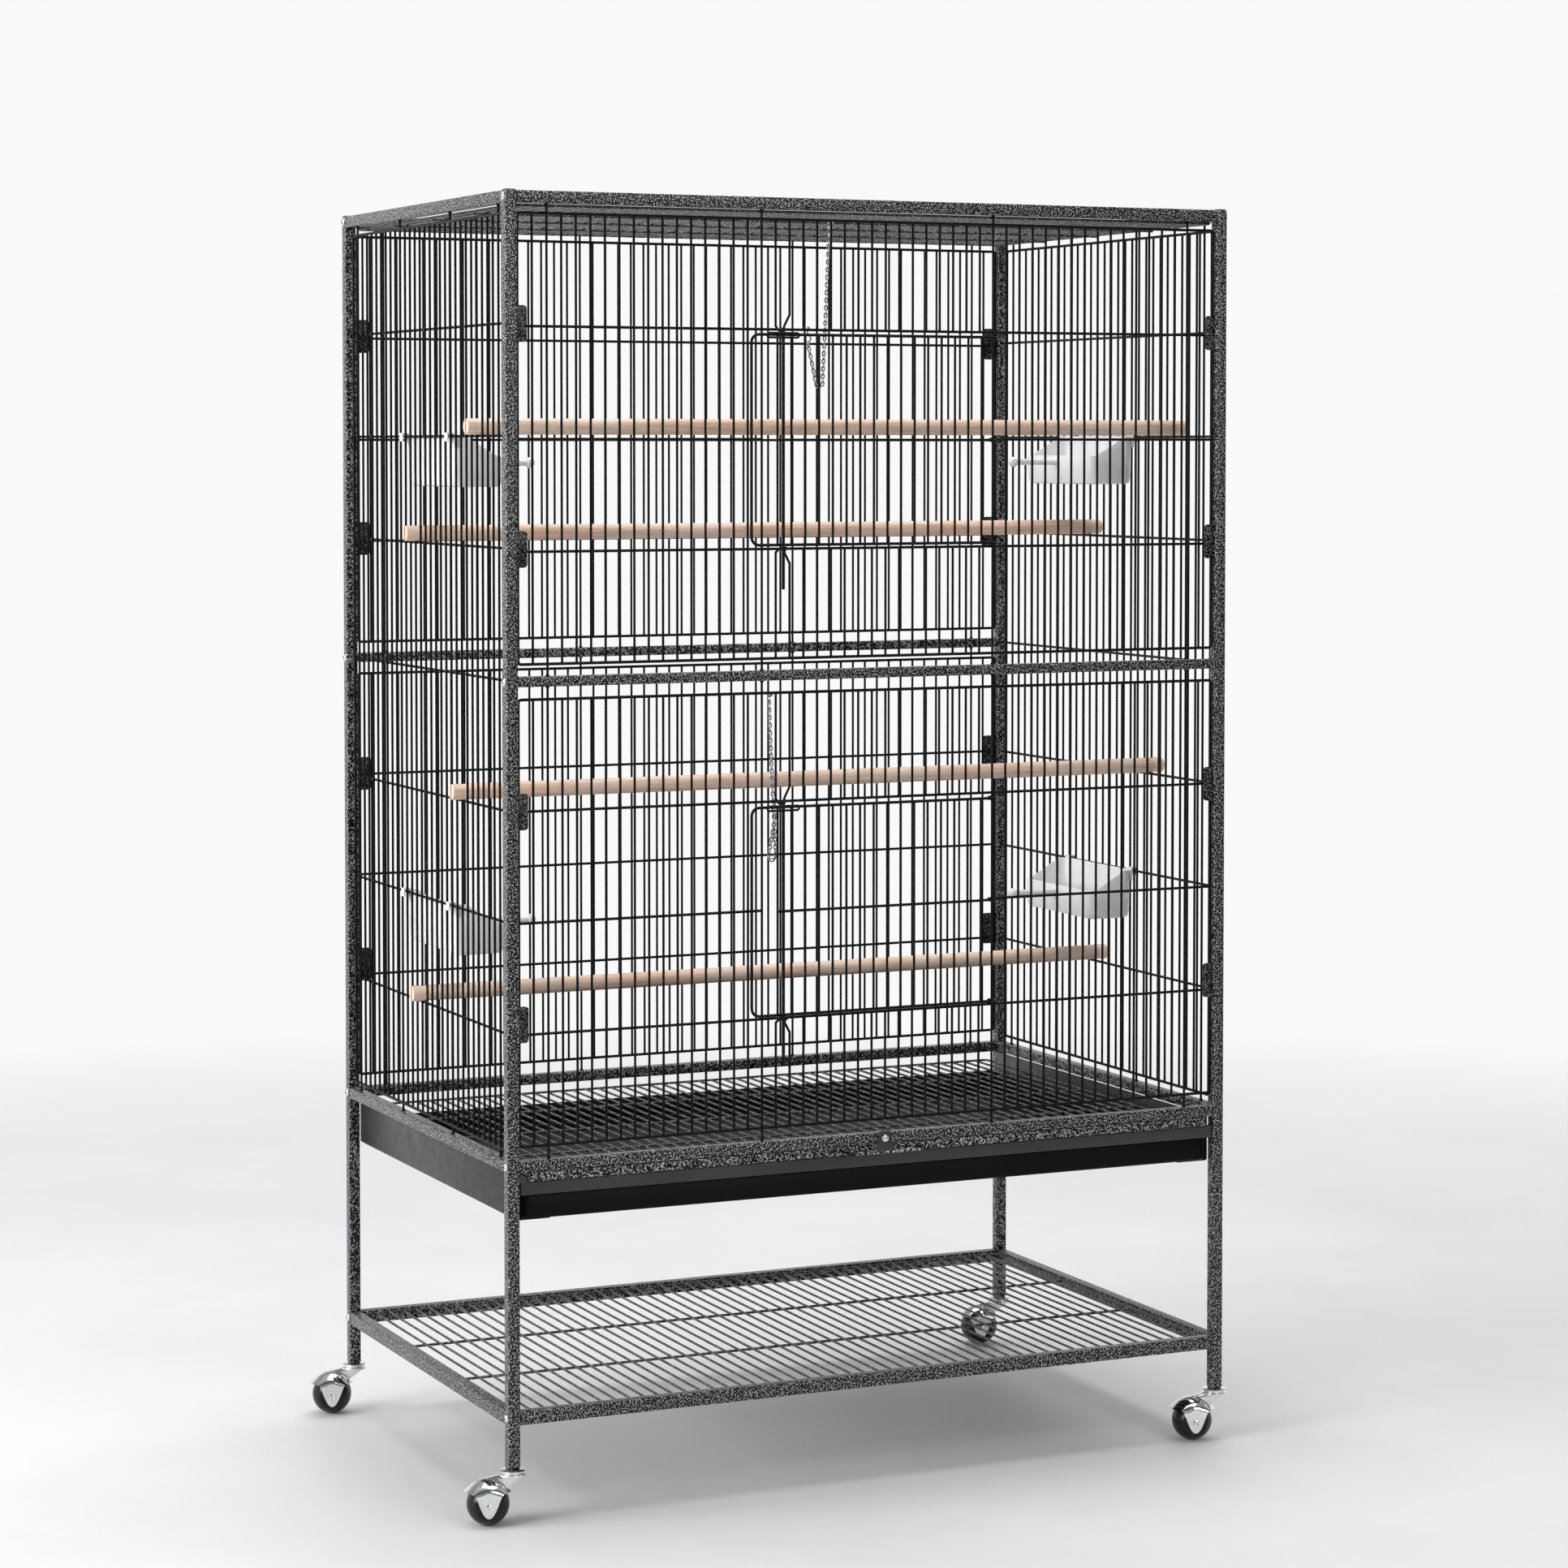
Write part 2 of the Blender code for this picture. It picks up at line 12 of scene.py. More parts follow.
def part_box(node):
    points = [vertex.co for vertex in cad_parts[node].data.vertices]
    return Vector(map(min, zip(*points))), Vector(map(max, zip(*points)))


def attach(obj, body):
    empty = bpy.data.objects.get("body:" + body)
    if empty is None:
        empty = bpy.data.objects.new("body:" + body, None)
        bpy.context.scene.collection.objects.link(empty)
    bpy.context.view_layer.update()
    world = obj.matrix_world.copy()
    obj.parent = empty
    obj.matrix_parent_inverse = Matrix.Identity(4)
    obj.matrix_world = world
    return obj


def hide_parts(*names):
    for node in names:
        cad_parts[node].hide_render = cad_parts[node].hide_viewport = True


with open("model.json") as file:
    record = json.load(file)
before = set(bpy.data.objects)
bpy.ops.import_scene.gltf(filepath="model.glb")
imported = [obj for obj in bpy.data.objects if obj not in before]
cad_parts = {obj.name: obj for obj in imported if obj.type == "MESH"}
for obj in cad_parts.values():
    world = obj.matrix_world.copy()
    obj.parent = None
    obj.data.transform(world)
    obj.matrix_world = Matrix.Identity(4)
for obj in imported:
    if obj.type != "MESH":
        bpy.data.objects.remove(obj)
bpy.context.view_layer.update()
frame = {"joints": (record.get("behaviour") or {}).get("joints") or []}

# ------------------------------------------------------------ driving sizes, from the frame
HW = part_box("top_rail_right")[1][0]  # half width, outside of the posts
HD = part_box("top_rail_back")[1][1]  # half depth
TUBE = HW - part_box("top_rail_right")[0][0]  # square tube
Z_POST = (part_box("post_front_left")[0][2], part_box("post_front_left")[1][2])
Z_TOP = (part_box("top_rail_front")[0][2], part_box("top_rail_front")[1][2])
Z_MID = (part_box("middle_rail_front")[0][2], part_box("middle_rail_front")[1][2])
Z_BASE = (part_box("base_rail_front")[0][2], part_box("base_rail_front")[1][2])
Z_SHELF = (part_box("shelf_rail_front")[0][2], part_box("shelf_rail_front")[1][2])
INX, INY = HW - TUBE, HD - TUBE  # inner faces of the posts
YF, XS = HD - TUBE / 2, HW - TUBE / 2  # middle planes of the front and side panels

R_UP, R_ACROSS, R_EDGE = 0.0013, 0.0014, 0.0015  # wire radii
CROSS_BACK = 0.0019  # how far the cross wires lie behind the uprights
COLS, SIDE_COLS = 52, 31  # uprights across the front and along a side
PX, PY = 0.015137, 0.0153  # their spacing
FX = [PX * (i - (COLS - 1) / 2) for i in range(COLS)]
SY = [PY * (i - (SIDE_COLS - 1) // 2) for i in range(SIDE_COLS)]
PINS = (2, 17, 34, 49)  # uprights that run on to the rails
SIDE_PINS = (1, 10, 20, 29)
ROWS = {"upper": [0.8352 + 0.1086 * i for i in range(5)],  # heights of the cross wires
        "lower": [0.3674 + 0.1084 * i for i in range(5)]}
RAILS = {"upper": (Z_MID[1], Z_TOP[0]), "lower": (Z_BASE[1], Z_MID[0])}
SIDE_ROWS = [0.3620, 0.4755, 0.5840, 0.6925, 0.8190, 0.9470, 1.0555, 1.1640, 1.2696]
DOOR_COLS = (17, 34)  # the pin uprights on each side of a doorway
BACK_TAB = 0.0165  # how far a back tab reaches in from its post
TABS = {"upper": (1.1633, 0.9463), "lower": (0.6928, 0.4863)}  # middle heights of the corner tabs
POST_SCREWS = (1.2850, 0.8185, 0.3485, 0.1033)  # heights of the screws on a post
FEEDER_ROW = {"upper": 1.0555, "lower": 0.5840}  # the side panels' cross wire that carries a feeder
GRATE_FRONT = -0.2435  # where the grate's wires end in its front bar
SIDES = ((-1, "left"), (1, "right"))
CORNERS = ((-1, -1, "front_left"), (1, -1, "front_right"), (-1, 1, "back_left"), (1, 1, "back_right"))


# ------------------------------------------------------------ node helpers
def new_material(name):
    m = bpy.data.materials.new(name)
    m.use_nodes = True
    nt = m.node_tree
    nt.nodes.clear()
    out = nt.nodes.new("ShaderNodeOutputMaterial")
    b = nt.nodes.new("ShaderNodeBsdfPrincipled")
    nt.links.new(b.outputs[0], out.inputs[0])
    return m, nt, b


def place(nt, scale=(1, 1, 1)):
    """Object coordinates, in metres, stretched by scale."""
    tc = nt.nodes.new("ShaderNodeTexCoord")
    mp = nt.nodes.new("ShaderNodeMapping")
    mp.inputs["Scale"].default_value = scale
    nt.links.new(tc.outputs["Object"], mp.inputs["Vector"])
    return mp.outputs["Vector"]


def noise(nt, vec, scale, detail=2.0, rough=0.5, distort=0.0):
    n = nt.nodes.new("ShaderNodeTexNoise")
    n.inputs["Scale"].default_value = scale
    n.inputs["Detail"].default_value = detail
    n.inputs["Roughness"].default_value = rough
    n.inputs["Distortion"].default_value = distort
    nt.links.new(vec, n.inputs["Vector"])
    return n.outputs["Fac"]


def ramp(nt, fac, stops):
    r = nt.nodes.new("ShaderNodeValToRGB")
    els = r.color_ramp.elements
    for e, (p, c) in zip(els, (stops[0], stops[-1])):
        e.position, e.color = p, (c[0], c[1], c[2], 1)
    for p, c in stops[1:-1]:
        e = els.new(p)
        e.color = (c[0], c[1], c[2], 1)
    nt.links.new(fac, r.inputs["Fac"])
    return r.outputs["Color"]


def grey(v):
    return (v, v, v)


def span(nt, fac, lo, hi, a=0.0, b=1.0):
    """Map fac from a..b to lo..hi."""
    n = nt.nodes.new("ShaderNodeMapRange")
    n.inputs["From Min"].default_value = a
    n.inputs["From Max"].default_value = b
    n.inputs["To Min"].default_value = lo
    n.inputs["To Max"].default_value = hi
    nt.links.new(fac, n.inputs["Value"])
    return n.outputs["Result"]


def bump(nt, b, height, strength, distance):
    n = nt.nodes.new("ShaderNodeBump")
    n.inputs["Strength"].default_value = strength
    n.inputs["Distance"].default_value = distance
    nt.links.new(height, n.inputs["Height"])
    nt.links.new(n.outputs["Normal"], b.inputs["Normal"])


# ------------------------------------------------------------ materials
def hammered_paint(name, shade):
    """Dark hammered enamel: silvery worm-like veins about 1.5 mm apart on a near-black ground. Below 1, shade
    darkens the veins as painted shade; above 1 it lightens them as a painted highlight.
    """
    m, nt, b = new_material(name)
    vec = place(nt)
    veins = noise(nt, vec, 620.0, 1.0, 0.5, 0.4)
    fine = noise(nt, vec, 1500.0, 2.0, 0.5, 0.3)
    mix = nt.nodes.new("ShaderNodeMath")
    mix.operation = "MULTIPLY_ADD"
    mix.inputs[1].default_value = 0.18
    nt.links.new(fine, mix.inputs[0])
    nt.links.new(veins, mix.inputs[2])
    col = ramp(nt, mix.outputs[0], [(0.50, grey(0.001)), (0.59, grey(0.002)),
                                    (0.64, grey(0.11 * shade)), (0.71, grey(0.42 * shade))])
    nt.links.new(col, b.inputs["Base Color"])
    nt.links.new(span(nt, veins, 0.30, 0.46, 0.35, 0.65), b.inputs["Roughness"])
    b.inputs["Metallic"].default_value = 0.25
    b.inputs["Specular IOR Level"].default_value = 0.20
    b.inputs["Coat Weight"].default_value = 0.08
    b.inputs["Coat Roughness"].default_value = 0.25
    bump(nt, b, mix.outputs[0], 0.55, 0.0006)
    return m


def wire_paint(name, low, high, shine):
    """Semi-gloss black enamel with small light speckles. With a high speckle colour they are mostly painted
    highlights.
    """
    m, nt, b = new_material(name)
    vec = place(nt)
    grain = noise(nt, vec, 620.0, 2.0, 0.5, 0.6)
    broad = noise(nt, vec, 60.0, 2.0)
    col = ramp(nt, grain, [(0.42, grey(low)), (0.56, grey(low * 2.5)), (0.68, grey(high))])
    nt.links.new(col, b.inputs["Base Color"])
    nt.links.new(span(nt, broad, 0.30, 0.42, 0.3, 0.7), b.inputs["Roughness"])
    b.inputs["Specular IOR Level"].default_value = shine
    bump(nt, b, grain, 0.3, 0.0003)
    return m


def bright_metal(name, tint, rough, scratch):
    m, nt, b = new_material(name)
    vec = place(nt)
    cloud = noise(nt, vec, 220.0, 3.0, 0.6)
    col = ramp(nt, cloud, [(0.3, [c * 0.82 for c in tint]), (0.7, tint)])
    nt.links.new(col, b.inputs["Base Color"])
    nt.links.new(span(nt, cloud, rough * 0.7, rough * 1.4, 0.3, 0.7), b.inputs["Roughness"])
    b.inputs["Metallic"].default_value = 1.0
    bump(nt, b, cloud, scratch, 0.0001)
    return m


def wood():
    """Sanded beech: long grain along X, short darker flecks and a pinkish tint."""
    m, nt, b = new_material("wood")
    grain = noise(nt, place(nt, (5.0, 120.0, 120.0)), 3.0, 5.0, 0.6, 0.7)
    fleck = noise(nt, place(nt, (40.0, 420.0, 420.0)), 3.0, 2.0, 0.6)
    cloud = noise(nt, place(nt, (9.0, 9.0, 9.0)), 1.0, 2.0)
    base = ramp(nt, grain, [(0.30, (0.60, 0.44, 0.34)), (0.50, (0.74, 0.57, 0.46)),
                            (0.72, (0.84, 0.69, 0.59))])
    dark = ramp(nt, fleck, [(0.60, (1, 1, 1)), (0.74, (0.74, 0.62, 0.55))])
    blush = ramp(nt, cloud, [(0.40, (1, 1, 1)), (0.66, (1.0, 0.88, 0.82))])
    last = base
    for other in (dark, blush):
        mx = nt.nodes.new("ShaderNodeMix")
        mx.data_type, mx.blend_type = "RGBA", "MULTIPLY"
        mx.inputs["Factor"].default_value = 1.0
        nt.links.new(last, mx.inputs[6])
        nt.links.new(other, mx.inputs[7])
        last = mx.outputs[2]
    nt.links.new(last, b.inputs["Base Color"])
    nt.links.new(span(nt, grain, 0.62, 0.48, 0.3, 0.7), b.inputs["Roughness"])
    bump(nt, b, grain, 0.25, 0.0003)
    return m


def tray_plastic(name, shade):
    m, nt, b = new_material(name)
    # shade scales the colour and the specular level; below 1 it paints shade onto the plastic
    b.inputs["Specular IOR Level"].default_value = 0.3 * min(1.0, 0.3 + shade)
    vec = place(nt)
    grain = noise(nt, vec, 1400.0, 2.0, 0.6)
    broad = noise(nt, vec, 9.0, 2.0)
    col = ramp(nt, broad, [(0.35, [c * shade for c in (0.032, 0.033, 0.036)]),
                           (0.65, [c * shade for c in (0.044, 0.045, 0.048)])])
    nt.links.new(col, b.inputs["Base Color"])
    nt.links.new(span(nt, grain, 0.36, 0.50, 0.3, 0.7), b.inputs["Roughness"])
    bump(nt, b, grain, 0.12, 0.0001)
    return m


def feeder_plastic():
    """Milky, slightly see-through polypropylene."""
    m, nt, b = new_material("feeder_plastic")
    vec = place(nt)
    cloud = noise(nt, vec, 35.0, 2.0)
    col = ramp(nt, cloud, [(0.3, (0.80, 0.81, 0.83)), (0.7, (0.88, 0.89, 0.90))])
    nt.links.new(col, b.inputs["Base Color"])
    nt.links.new(span(nt, cloud, 0.26, 0.38, 0.3, 0.7), b.inputs["Roughness"])
    b.inputs["Subsurface Weight"].default_value = 0.25
    b.inputs["Subsurface Radius"].default_value = (0.006, 0.006, 0.006)
    b.inputs["Transmission Weight"].default_value = 0.18
    bump(nt, b, noise(nt, vec, 260.0, 2.0), 0.08, 0.0003)
    return m


def ball_plastic():
    m, nt, b = new_material("ball_plastic")
    vec = place(nt)
    cloud = noise(nt, vec, 130.0, 3.0)
    col = ramp(nt, cloud, [(0.3, grey(0.003)), (0.7, grey(0.007))])
    nt.links.new(col, b.inputs["Base Color"])
    nt.links.new(span(nt, cloud, 0.16, 0.30, 0.3, 0.7), b.inputs["Roughness"])
    b.inputs["Specular IOR Level"].default_value = 0.25
    b.inputs["Coat Weight"].default_value = 0.1
    b.inputs["Coat Roughness"].default_value = 0.1
    bump(nt, b, cloud, 0.05, 0.0002)
    return m


def end_plug():
    m, nt, b = new_material("end_plug")
    grain = noise(nt, place(nt), 900.0, 2.0)
    nt.links.new(ramp(nt, grain, [(0.3, grey(0.02)), (0.7, grey(0.035))]), b.inputs["Base Color"])
    nt.links.new(span(nt, grain, 0.4, 0.55), b.inputs["Roughness"])
    return m


HAMMER = hammered_paint("hammered_paint", 1.0)
# a darker copy of the hammered paint for the corner tabs: painted shade
TAB_PAINTED_SHADE = hammered_paint("hammered_paint_tabs_painted_shade", 0.45)
SHEET = wire_paint("sheet_paint", 0.010, 0.055, 0.30)
WIRE = wire_paint("wire_paint", 0.002, 0.030, 0.10)
# wires of the lying grids: the same enamel with bright speckles and more shine, partly the enamel's own speckle
# and mostly painted highlights on their tops
WIRE_LEVEL_PAINTED_HIGHLIGHT = wire_paint("wire_paint_level_painted_highlight", 0.010, 0.36, 0.45)
# a lighter copy of the hammered paint for the pull's bar: painted highlight
PULL_PAINTED_HIGHLIGHT = hammered_paint("hammered_paint_pull_painted_highlight", 1.3)
CHROME = bright_metal("chrome", (0.88, 0.89, 0.90), 0.08, 0.03)
CHAIN = bright_metal("chain_steel", (0.42, 0.42, 0.43), 0.25, 0.06)
SCREW = bright_metal("screw_steel", (0.82, 0.82, 0.83), 0.20, 0.05)
WOOD = wood()
TRAY = tray_plastic("tray_plastic", 1.0)
# the pan's copy of the tray plastic, darkened with less shine as painted shade
TRAY_PAINTED_SHADE = tray_plastic("tray_plastic_painted_shade", 0.08)
FEEDER = feeder_plastic()
BALL = ball_plastic()
PLUG = end_plug()


# ------------------------------------------------------------ mesh helpers
class Shape:
    """Collects closed solids, then becomes one object."""

    def __init__(self):
        self.v, self.f = [], []

    def add(self, v, f):
        o = len(self.v)
        self.v += [Vector(p) for p in v]
        self.f += [tuple(i + o for i in q) for q in f]
        return self

    def mapped(self, m):
        self.v = [m(p) for p in self.v]
        return self

    def join(self, other):
        return self.add(other.v, other.f)

    def tube(self, path, r, n=8, closed=False):
        """Round wire along path. An open wire has slightly rounded ends."""
        p = [Vector(q) for q in path]
        m = len(p)
        if closed:
            tang = [(p[(i + 1) % m] - p[i - 1]).normalized() for i in range(m)]
        else:
            tang = [(p[min(i + 1, m - 1)] - p[max(i - 1, 0)]).normalized() for i in range(m)]
        up = Vector((0, 0, 1)) if abs(tang[0].z) < 0.9 else Vector((0, 1, 0))
        side = tang[0].cross(up).normalized()
        sides = [side]
        for i in range(1, m):
            s = sides[-1] - tang[i] * sides[-1].dot(tang[i])
            sides.append(s.normalized())
        twist = 0.0
        if closed:  # spread the leftover turn over the loop
            s = sides[-1] - tang[0] * sides[-1].dot(tang[0])
            s.normalize()
            twist = math.atan2(s.cross(sides[0]).dot(tang[0]), s.dot(sides[0]))
        rings = []
        radii = [r] * m
        if not closed:  # small shoulders at both ends
            lip = r * 0.35
            p = [p[0]] + [p[0] + tang[0] * lip] + p[1:-1] + [p[-1] - tang[-1] * lip] + [p[-1]]
            tang = [tang[0]] + tang + [tang[-1]]
            sides = [sides[0]] + sides + [sides[-1]]
            radii = [r * 0.7] + radii + [r * 0.7]
            m += 2
        v, f = [], []
        for i in range(m):
            s = sides[i]
            t = tang[i].cross(s)
            a0 = twist * i / m
            rings.append(len(v))
            for k in range(n):
                a = a0 + 2 * math.pi * k / n
                v.append(p[i] + (s * math.cos(a) + t * math.sin(a)) * radii[i])
        for i in range(m if closed else m - 1):
            a, b = rings[i], rings[(i + 1) % m]
            for k in range(n):
                j = (k + 1) % n
                f.append((a + k, a + j, b + j, b + k))
        if not closed:
            f.append(tuple(range(n - 1, -1, -1)))
            f.append(tuple(rings[-1] + k for k in range(n)))
        return self.add(v, f)

    def box(self, lo, hi, edge=0.0):
        """Box with rounded edges of radius edge."""
        bm = bmesh.new()
        bmesh.ops.create_cube(bm, size=1.0)
        lo, hi = Vector(lo), Vector(hi)
        for q in bm.verts:
            q.co = Vector([(lo[k] + hi[k]) / 2 + q.co[k] * (hi[k] - lo[k]) for k in range(3)])
        if edge:
            bmesh.ops.bevel(bm, geom=bm.edges[:], offset=edge, segments=3, profile=0.5, affect="EDGES")
        bm.verts.index_update()
        v = [q.co.copy() for q in bm.verts]
        f = [tuple(q.index for q in g.verts) for g in bm.faces]
        bm.free()
        return self.add(v, f)

    def revolve(self, profile, n=24):
        """Turn (radius, height) points about Z. A radius of 0 closes the end."""
        v, rings, f = [], [], []
        for r, z in profile:
            if r < 1e-7:
                rings.append([len(v)] * n)
                v.append((0, 0, z))
            else:
                rings.append([len(v) + i for i in range(n)])
                v += circle(r, n, z)
        for a, b in zip(rings, rings[1:]):
            if a[0] == a[1] and b[0] == b[1]:
                continue
            for i in range(n):
                k = (i + 1) % n
                q = []
                for p in (a[i], a[k], b[k], b[i]):
                    if p not in q:
                        q.append(p)
                f.append(tuple(q))
        return self.add(v, f)

    def extrude(self, outline, lo, hi, plane="XZ", edge=0.0):
        """Flat outline (anticlockwise or not) pushed from lo to hi along the third axis."""
        n = len(outline)
        bm = bmesh.new()

        def at(p, d):
            a, b = p
            return {"XZ": (a, d, b), "XY": (a, b, d), "YZ": (d, a, b)}[plane]

        vs = [[bm.verts.new(at(p, d)) for p in outline] for d in (lo, hi)]
        bm.faces.new(vs[0])
        bm.faces.new(vs[1][::-1])
        for i in range(n):
            k = (i + 1) % n
            bm.faces.new((vs[0][i], vs[1][i], vs[1][k], vs[0][k]))
        bmesh.ops.recalc_face_normals(bm, faces=bm.faces[:])
        if edge:
            rim = [e for e in bm.edges if e.calc_face_angle(0) > 0.6]
            bmesh.ops.bevel(bm, geom=rim, offset=edge, segments=2, profile=0.5, affect="EDGES")
        bm.verts.index_update()
        v = [q.co.copy() for q in bm.verts]
        f = [tuple(q.index for q in g.verts) for g in bm.faces]
        bm.free()
        return self.add(v, f)

    def piece(self, name, mat, body, slot=None, replaces=(), crease=38):
        me = bpy.data.meshes.new(name)
        me.from_pydata([tuple(p) for p in self.v], [], self.f)
        me.update()
        bm = bmesh.new()
        bm.from_mesh(me)
        lim = math.radians(crease)
        for g in bm.faces:
            g.smooth = True
        for e in bm.edges:
            e.smooth = e.calc_face_angle(0) < lim
        bm.to_mesh(me)
        bm.free()
        me.materials.append(mat)
        ob = bpy.data.objects.new(name, me)
        bpy.context.scene.collection.objects.link(ob)
        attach(ob, body)
        if replaces:
            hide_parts(*replaces)
        return ob


def circle(r, n, z):
    return [(r * math.cos(2 * math.pi * i / n), r * math.sin(2 * math.pi * i / n), z) for i in range(n)]


def arc(c, r, a0, a1, n):
    """Points on a circle in the plane, angles in degrees."""
    out = []
    for i in range(n + 1):
        a = math.radians(a0 + (a1 - a0) * i / n)
        out.append((c[0] + r * math.cos(a), c[1] + r * math.sin(a)))
    return out


def round_rect(u0, u1, v0, v1, r, n=5):
    return (arc((u1 - r, v1 - r), r, 0, 90, n) + arc((u0 + r, v1 - r), r, 90, 180, n)
            + arc((u0 + r, v0 + r), r, 180, 270, n) + arc((u1 - r, v0 + r), r, 270, 360, n))


def fillet(path, r, n=5):
    """Open path with its inner corners rounded."""
    p = [Vector(q) for q in path]
    out = [p[0]]
    for a, b, c in zip(p, p[1:], p[2:]):
        u, w = (a - b).normalized(), (c - b).normalized()
        ang = u.angle(w)
        d = min(r / math.tan(ang / 2), (a - b).length * 0.49, (c - b).length * 0.49)
        s, e = b + u * d, b + w * d
        for i in range(n + 1):
            t = i / n
            out.append(s * (1 - t) ** 2 + b * 2 * t * (1 - t) + e * t * t)
    out.append(p[-1])
    return out


def turn_z(angle, centre):
    m = Matrix.Translation(centre) @ Matrix.Rotation(angle, 4, "Z")
    return lambda p: m @ p


def aim(axis, at):
    """Stand a Z-axis shape along axis at a place."""
    q = Vector((0, 0, 1)).rotation_difference(Vector(axis).normalized())
    m = Matrix.Translation(at) @ q.to_matrix().to_4x4()
    return lambda p: m @ p


def shell(levels, flip=False):
    """Closed skin through nested rings of equal length, from the outside's foot to the inside's floor."""
    m = len(levels[0])
    v = [p for level in levels for p in level]
    f = []
    for a in range(len(levels) - 1):
        for i in range(m):
            k = (i + 1) % m
            f.append((a * m + i, a * m + k, (a + 1) * m + k, (a + 1) * m + i))
    f.append(tuple(range(m - 1, -1, -1)))
    f.append(tuple((len(levels) - 1) * m + i for i in range(m)))
    return Shape().add(v, [q[::-1] for q in f] if flip else f)


def carve(shape, *cutters):
    """The shape without what its cutters cover."""
    obs = []
    for part in (shape,) + cutters:
        me = bpy.data.meshes.new("carve")
        me.from_pydata([tuple(p) for p in part.v], [], part.f)
        obs.append(bpy.data.objects.new("carve", me))
        bpy.context.scene.collection.objects.link(obs[-1])
    for tool in obs[1:]:
        md = obs[0].modifiers.new("carve", "BOOLEAN")
        md.operation, md.solver, md.object = "DIFFERENCE", "EXACT", tool
    res = bpy.data.meshes.new_from_object(obs[0].evaluated_get(bpy.context.evaluated_depsgraph_get()))
    out = Shape()
    out.v = [q.co.copy() for q in res.vertices]
    out.f = [tuple(g.vertices) for g in res.polygons]
    for ob in obs:
        bpy.data.objects.remove(ob, do_unlink=True)
    return out


# ------------------------------------------------------------ screws
def screw_head(r=0.0041, h=0.0024):
    """Pan head with a cross recess, its seat at z = 0."""
    rim, slot = 0.0006, 0.00055  # height of the straight edge, half width of the recess
    dome = [(0.0, 0.0), (r, 0.0)] + [(r * math.cos(a), rim + (h - rim) * math.sin(a))
                                     for a in [math.radians(8 + 82 * i / 6) for i in range(6)]] + [(0.0, h)]
    cut = Shape().box((-r * 0.52, -slot, h * 0.35), (r * 0.52, slot, h * 1.5))
    across = Shape().box((-slot, -r * 0.52, h * 0.35), (slot, r * 0.52, h * 1.5))
    return carve(Shape().revolve(dome, 24), cut, across)


HEAD = screw_head()


def screw_at(place_, axis, turn=0.0, size=1.0):
    s = Shape()
    s.v = [Matrix.Rotation(turn, 4, "Z") @ (p * size) for p in HEAD.v]
    s.f = list(HEAD.f)
    return s.mapped(aim(axis, place_))


# ------------------------------------------------------------ tubes and rails
def tube_box(lo, hi):
    return Shape().box(lo, hi, 0.0011)


def frame_tubes():
    for sx, sy, corner in CORNERS:
        name = "post_" + corner
        xc, yc, h = sx * XS, sy * YF, TUBE / 2
        hp = h - 0.0009  # the end plug lies a little inside the tube
        tube_box((xc - h, yc - h, Z_POST[0]), (xc + h, yc + h, Z_POST[1] - 0.0012)).piece(
            name + "_tube", HAMMER, "cage", "hammered_paint", [name])
        Shape().box((xc - hp, yc - hp, Z_POST[1] - 0.003), (xc + hp, yc + hp, Z_POST[1]), 0.0007).piece(
            name + "_plug", PLUG, "cage", "hammered_paint")
        for k, z in enumerate(POST_SCREWS):
            screw_at((sx * HW, yc, z), (sx, 0, 0), 0.3 + 0.9 * k + sx).piece(
                "%s_screw_%d" % (name, k + 1), SCREW, "cage", "chrome")
    for sy, side in ((-1, "front"), (1, "back")):
        y0, y1 = sorted((sy * HD, sy * (HD - TUBE)))
        for kind, (z0, z1) in (("top", Z_TOP), ("middle", Z_MID), ("base", Z_BASE), ("shelf", Z_SHELF)):
            n = "%s_rail_%s" % (kind, side)
            tube_box((-INX - 0.0002, y0, z0), (INX + 0.0002, y1, z1)).piece(
                n + "_tube", HAMMER, "cage", "hammered_paint", [n])
    for sx, side in SIDES:
        x0, x1 = sorted((sx * HW, sx * (HW - TUBE)))
        for kind, (z0, z1) in (("top", Z_TOP), ("base", Z_BASE), ("shelf", Z_SHELF)):
            n = "%s_rail_%s" % (kind, side)
            tube_box((x0, -INY - 0.0002, z0), (x1, INY + 0.0002, z1)).piece(
                n + "_tube", HAMMER, "cage", "hammered_paint", [n])


def tray_channels():
    """Bent sheet beside the tray: a plate between the posts and a flange inwards that carries the tray."""
    for sx, side in SIDES:
        n = "tray_channel_" + side
        lo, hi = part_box(n)
        out, tip = (hi[0], lo[0]) if sx > 0 else (lo[0], hi[0])
        thick, bottom, top = 0.0014, lo[2], hi[2]
        r_out, r_in = 0.0022, 0.0008  # bend radii
        bend = [(out - sx * r_out * (1 - math.sin(a)), bottom + r_out * (1 - math.cos(a)))
                for a in [math.radians(90 - 15 * i) for i in range(7)]]
        inner = [(out - sx * thick - sx * r_in * (1 - math.sin(a)), bottom + thick + r_in * (1 - math.cos(a)))
                 for a in [math.radians(22.5 * i) for i in range(5)]]
        outline = [(out, top)] + bend + [(tip, bottom), (tip, bottom + thick)]
        outline += inner + [(out - sx * thick, top)]
        Shape().extrude(outline, lo[1], hi[1], "XZ", 0.0003).piece(
            n + "_sheet", SHEET, "cage", "hammered_paint", [n])


# ------------------------------------------------------------ wire grids
def front_point(sign):
    return lambda u, v, d=0.0: (u, sign * YF - sign * d, v)


def side_point(sign):
    return lambda u, v, d=0.0: (sign * XS - sign * d, u, v)


def level_point(z):
    return lambda u, v, d=0.0: (u, v, z - d)


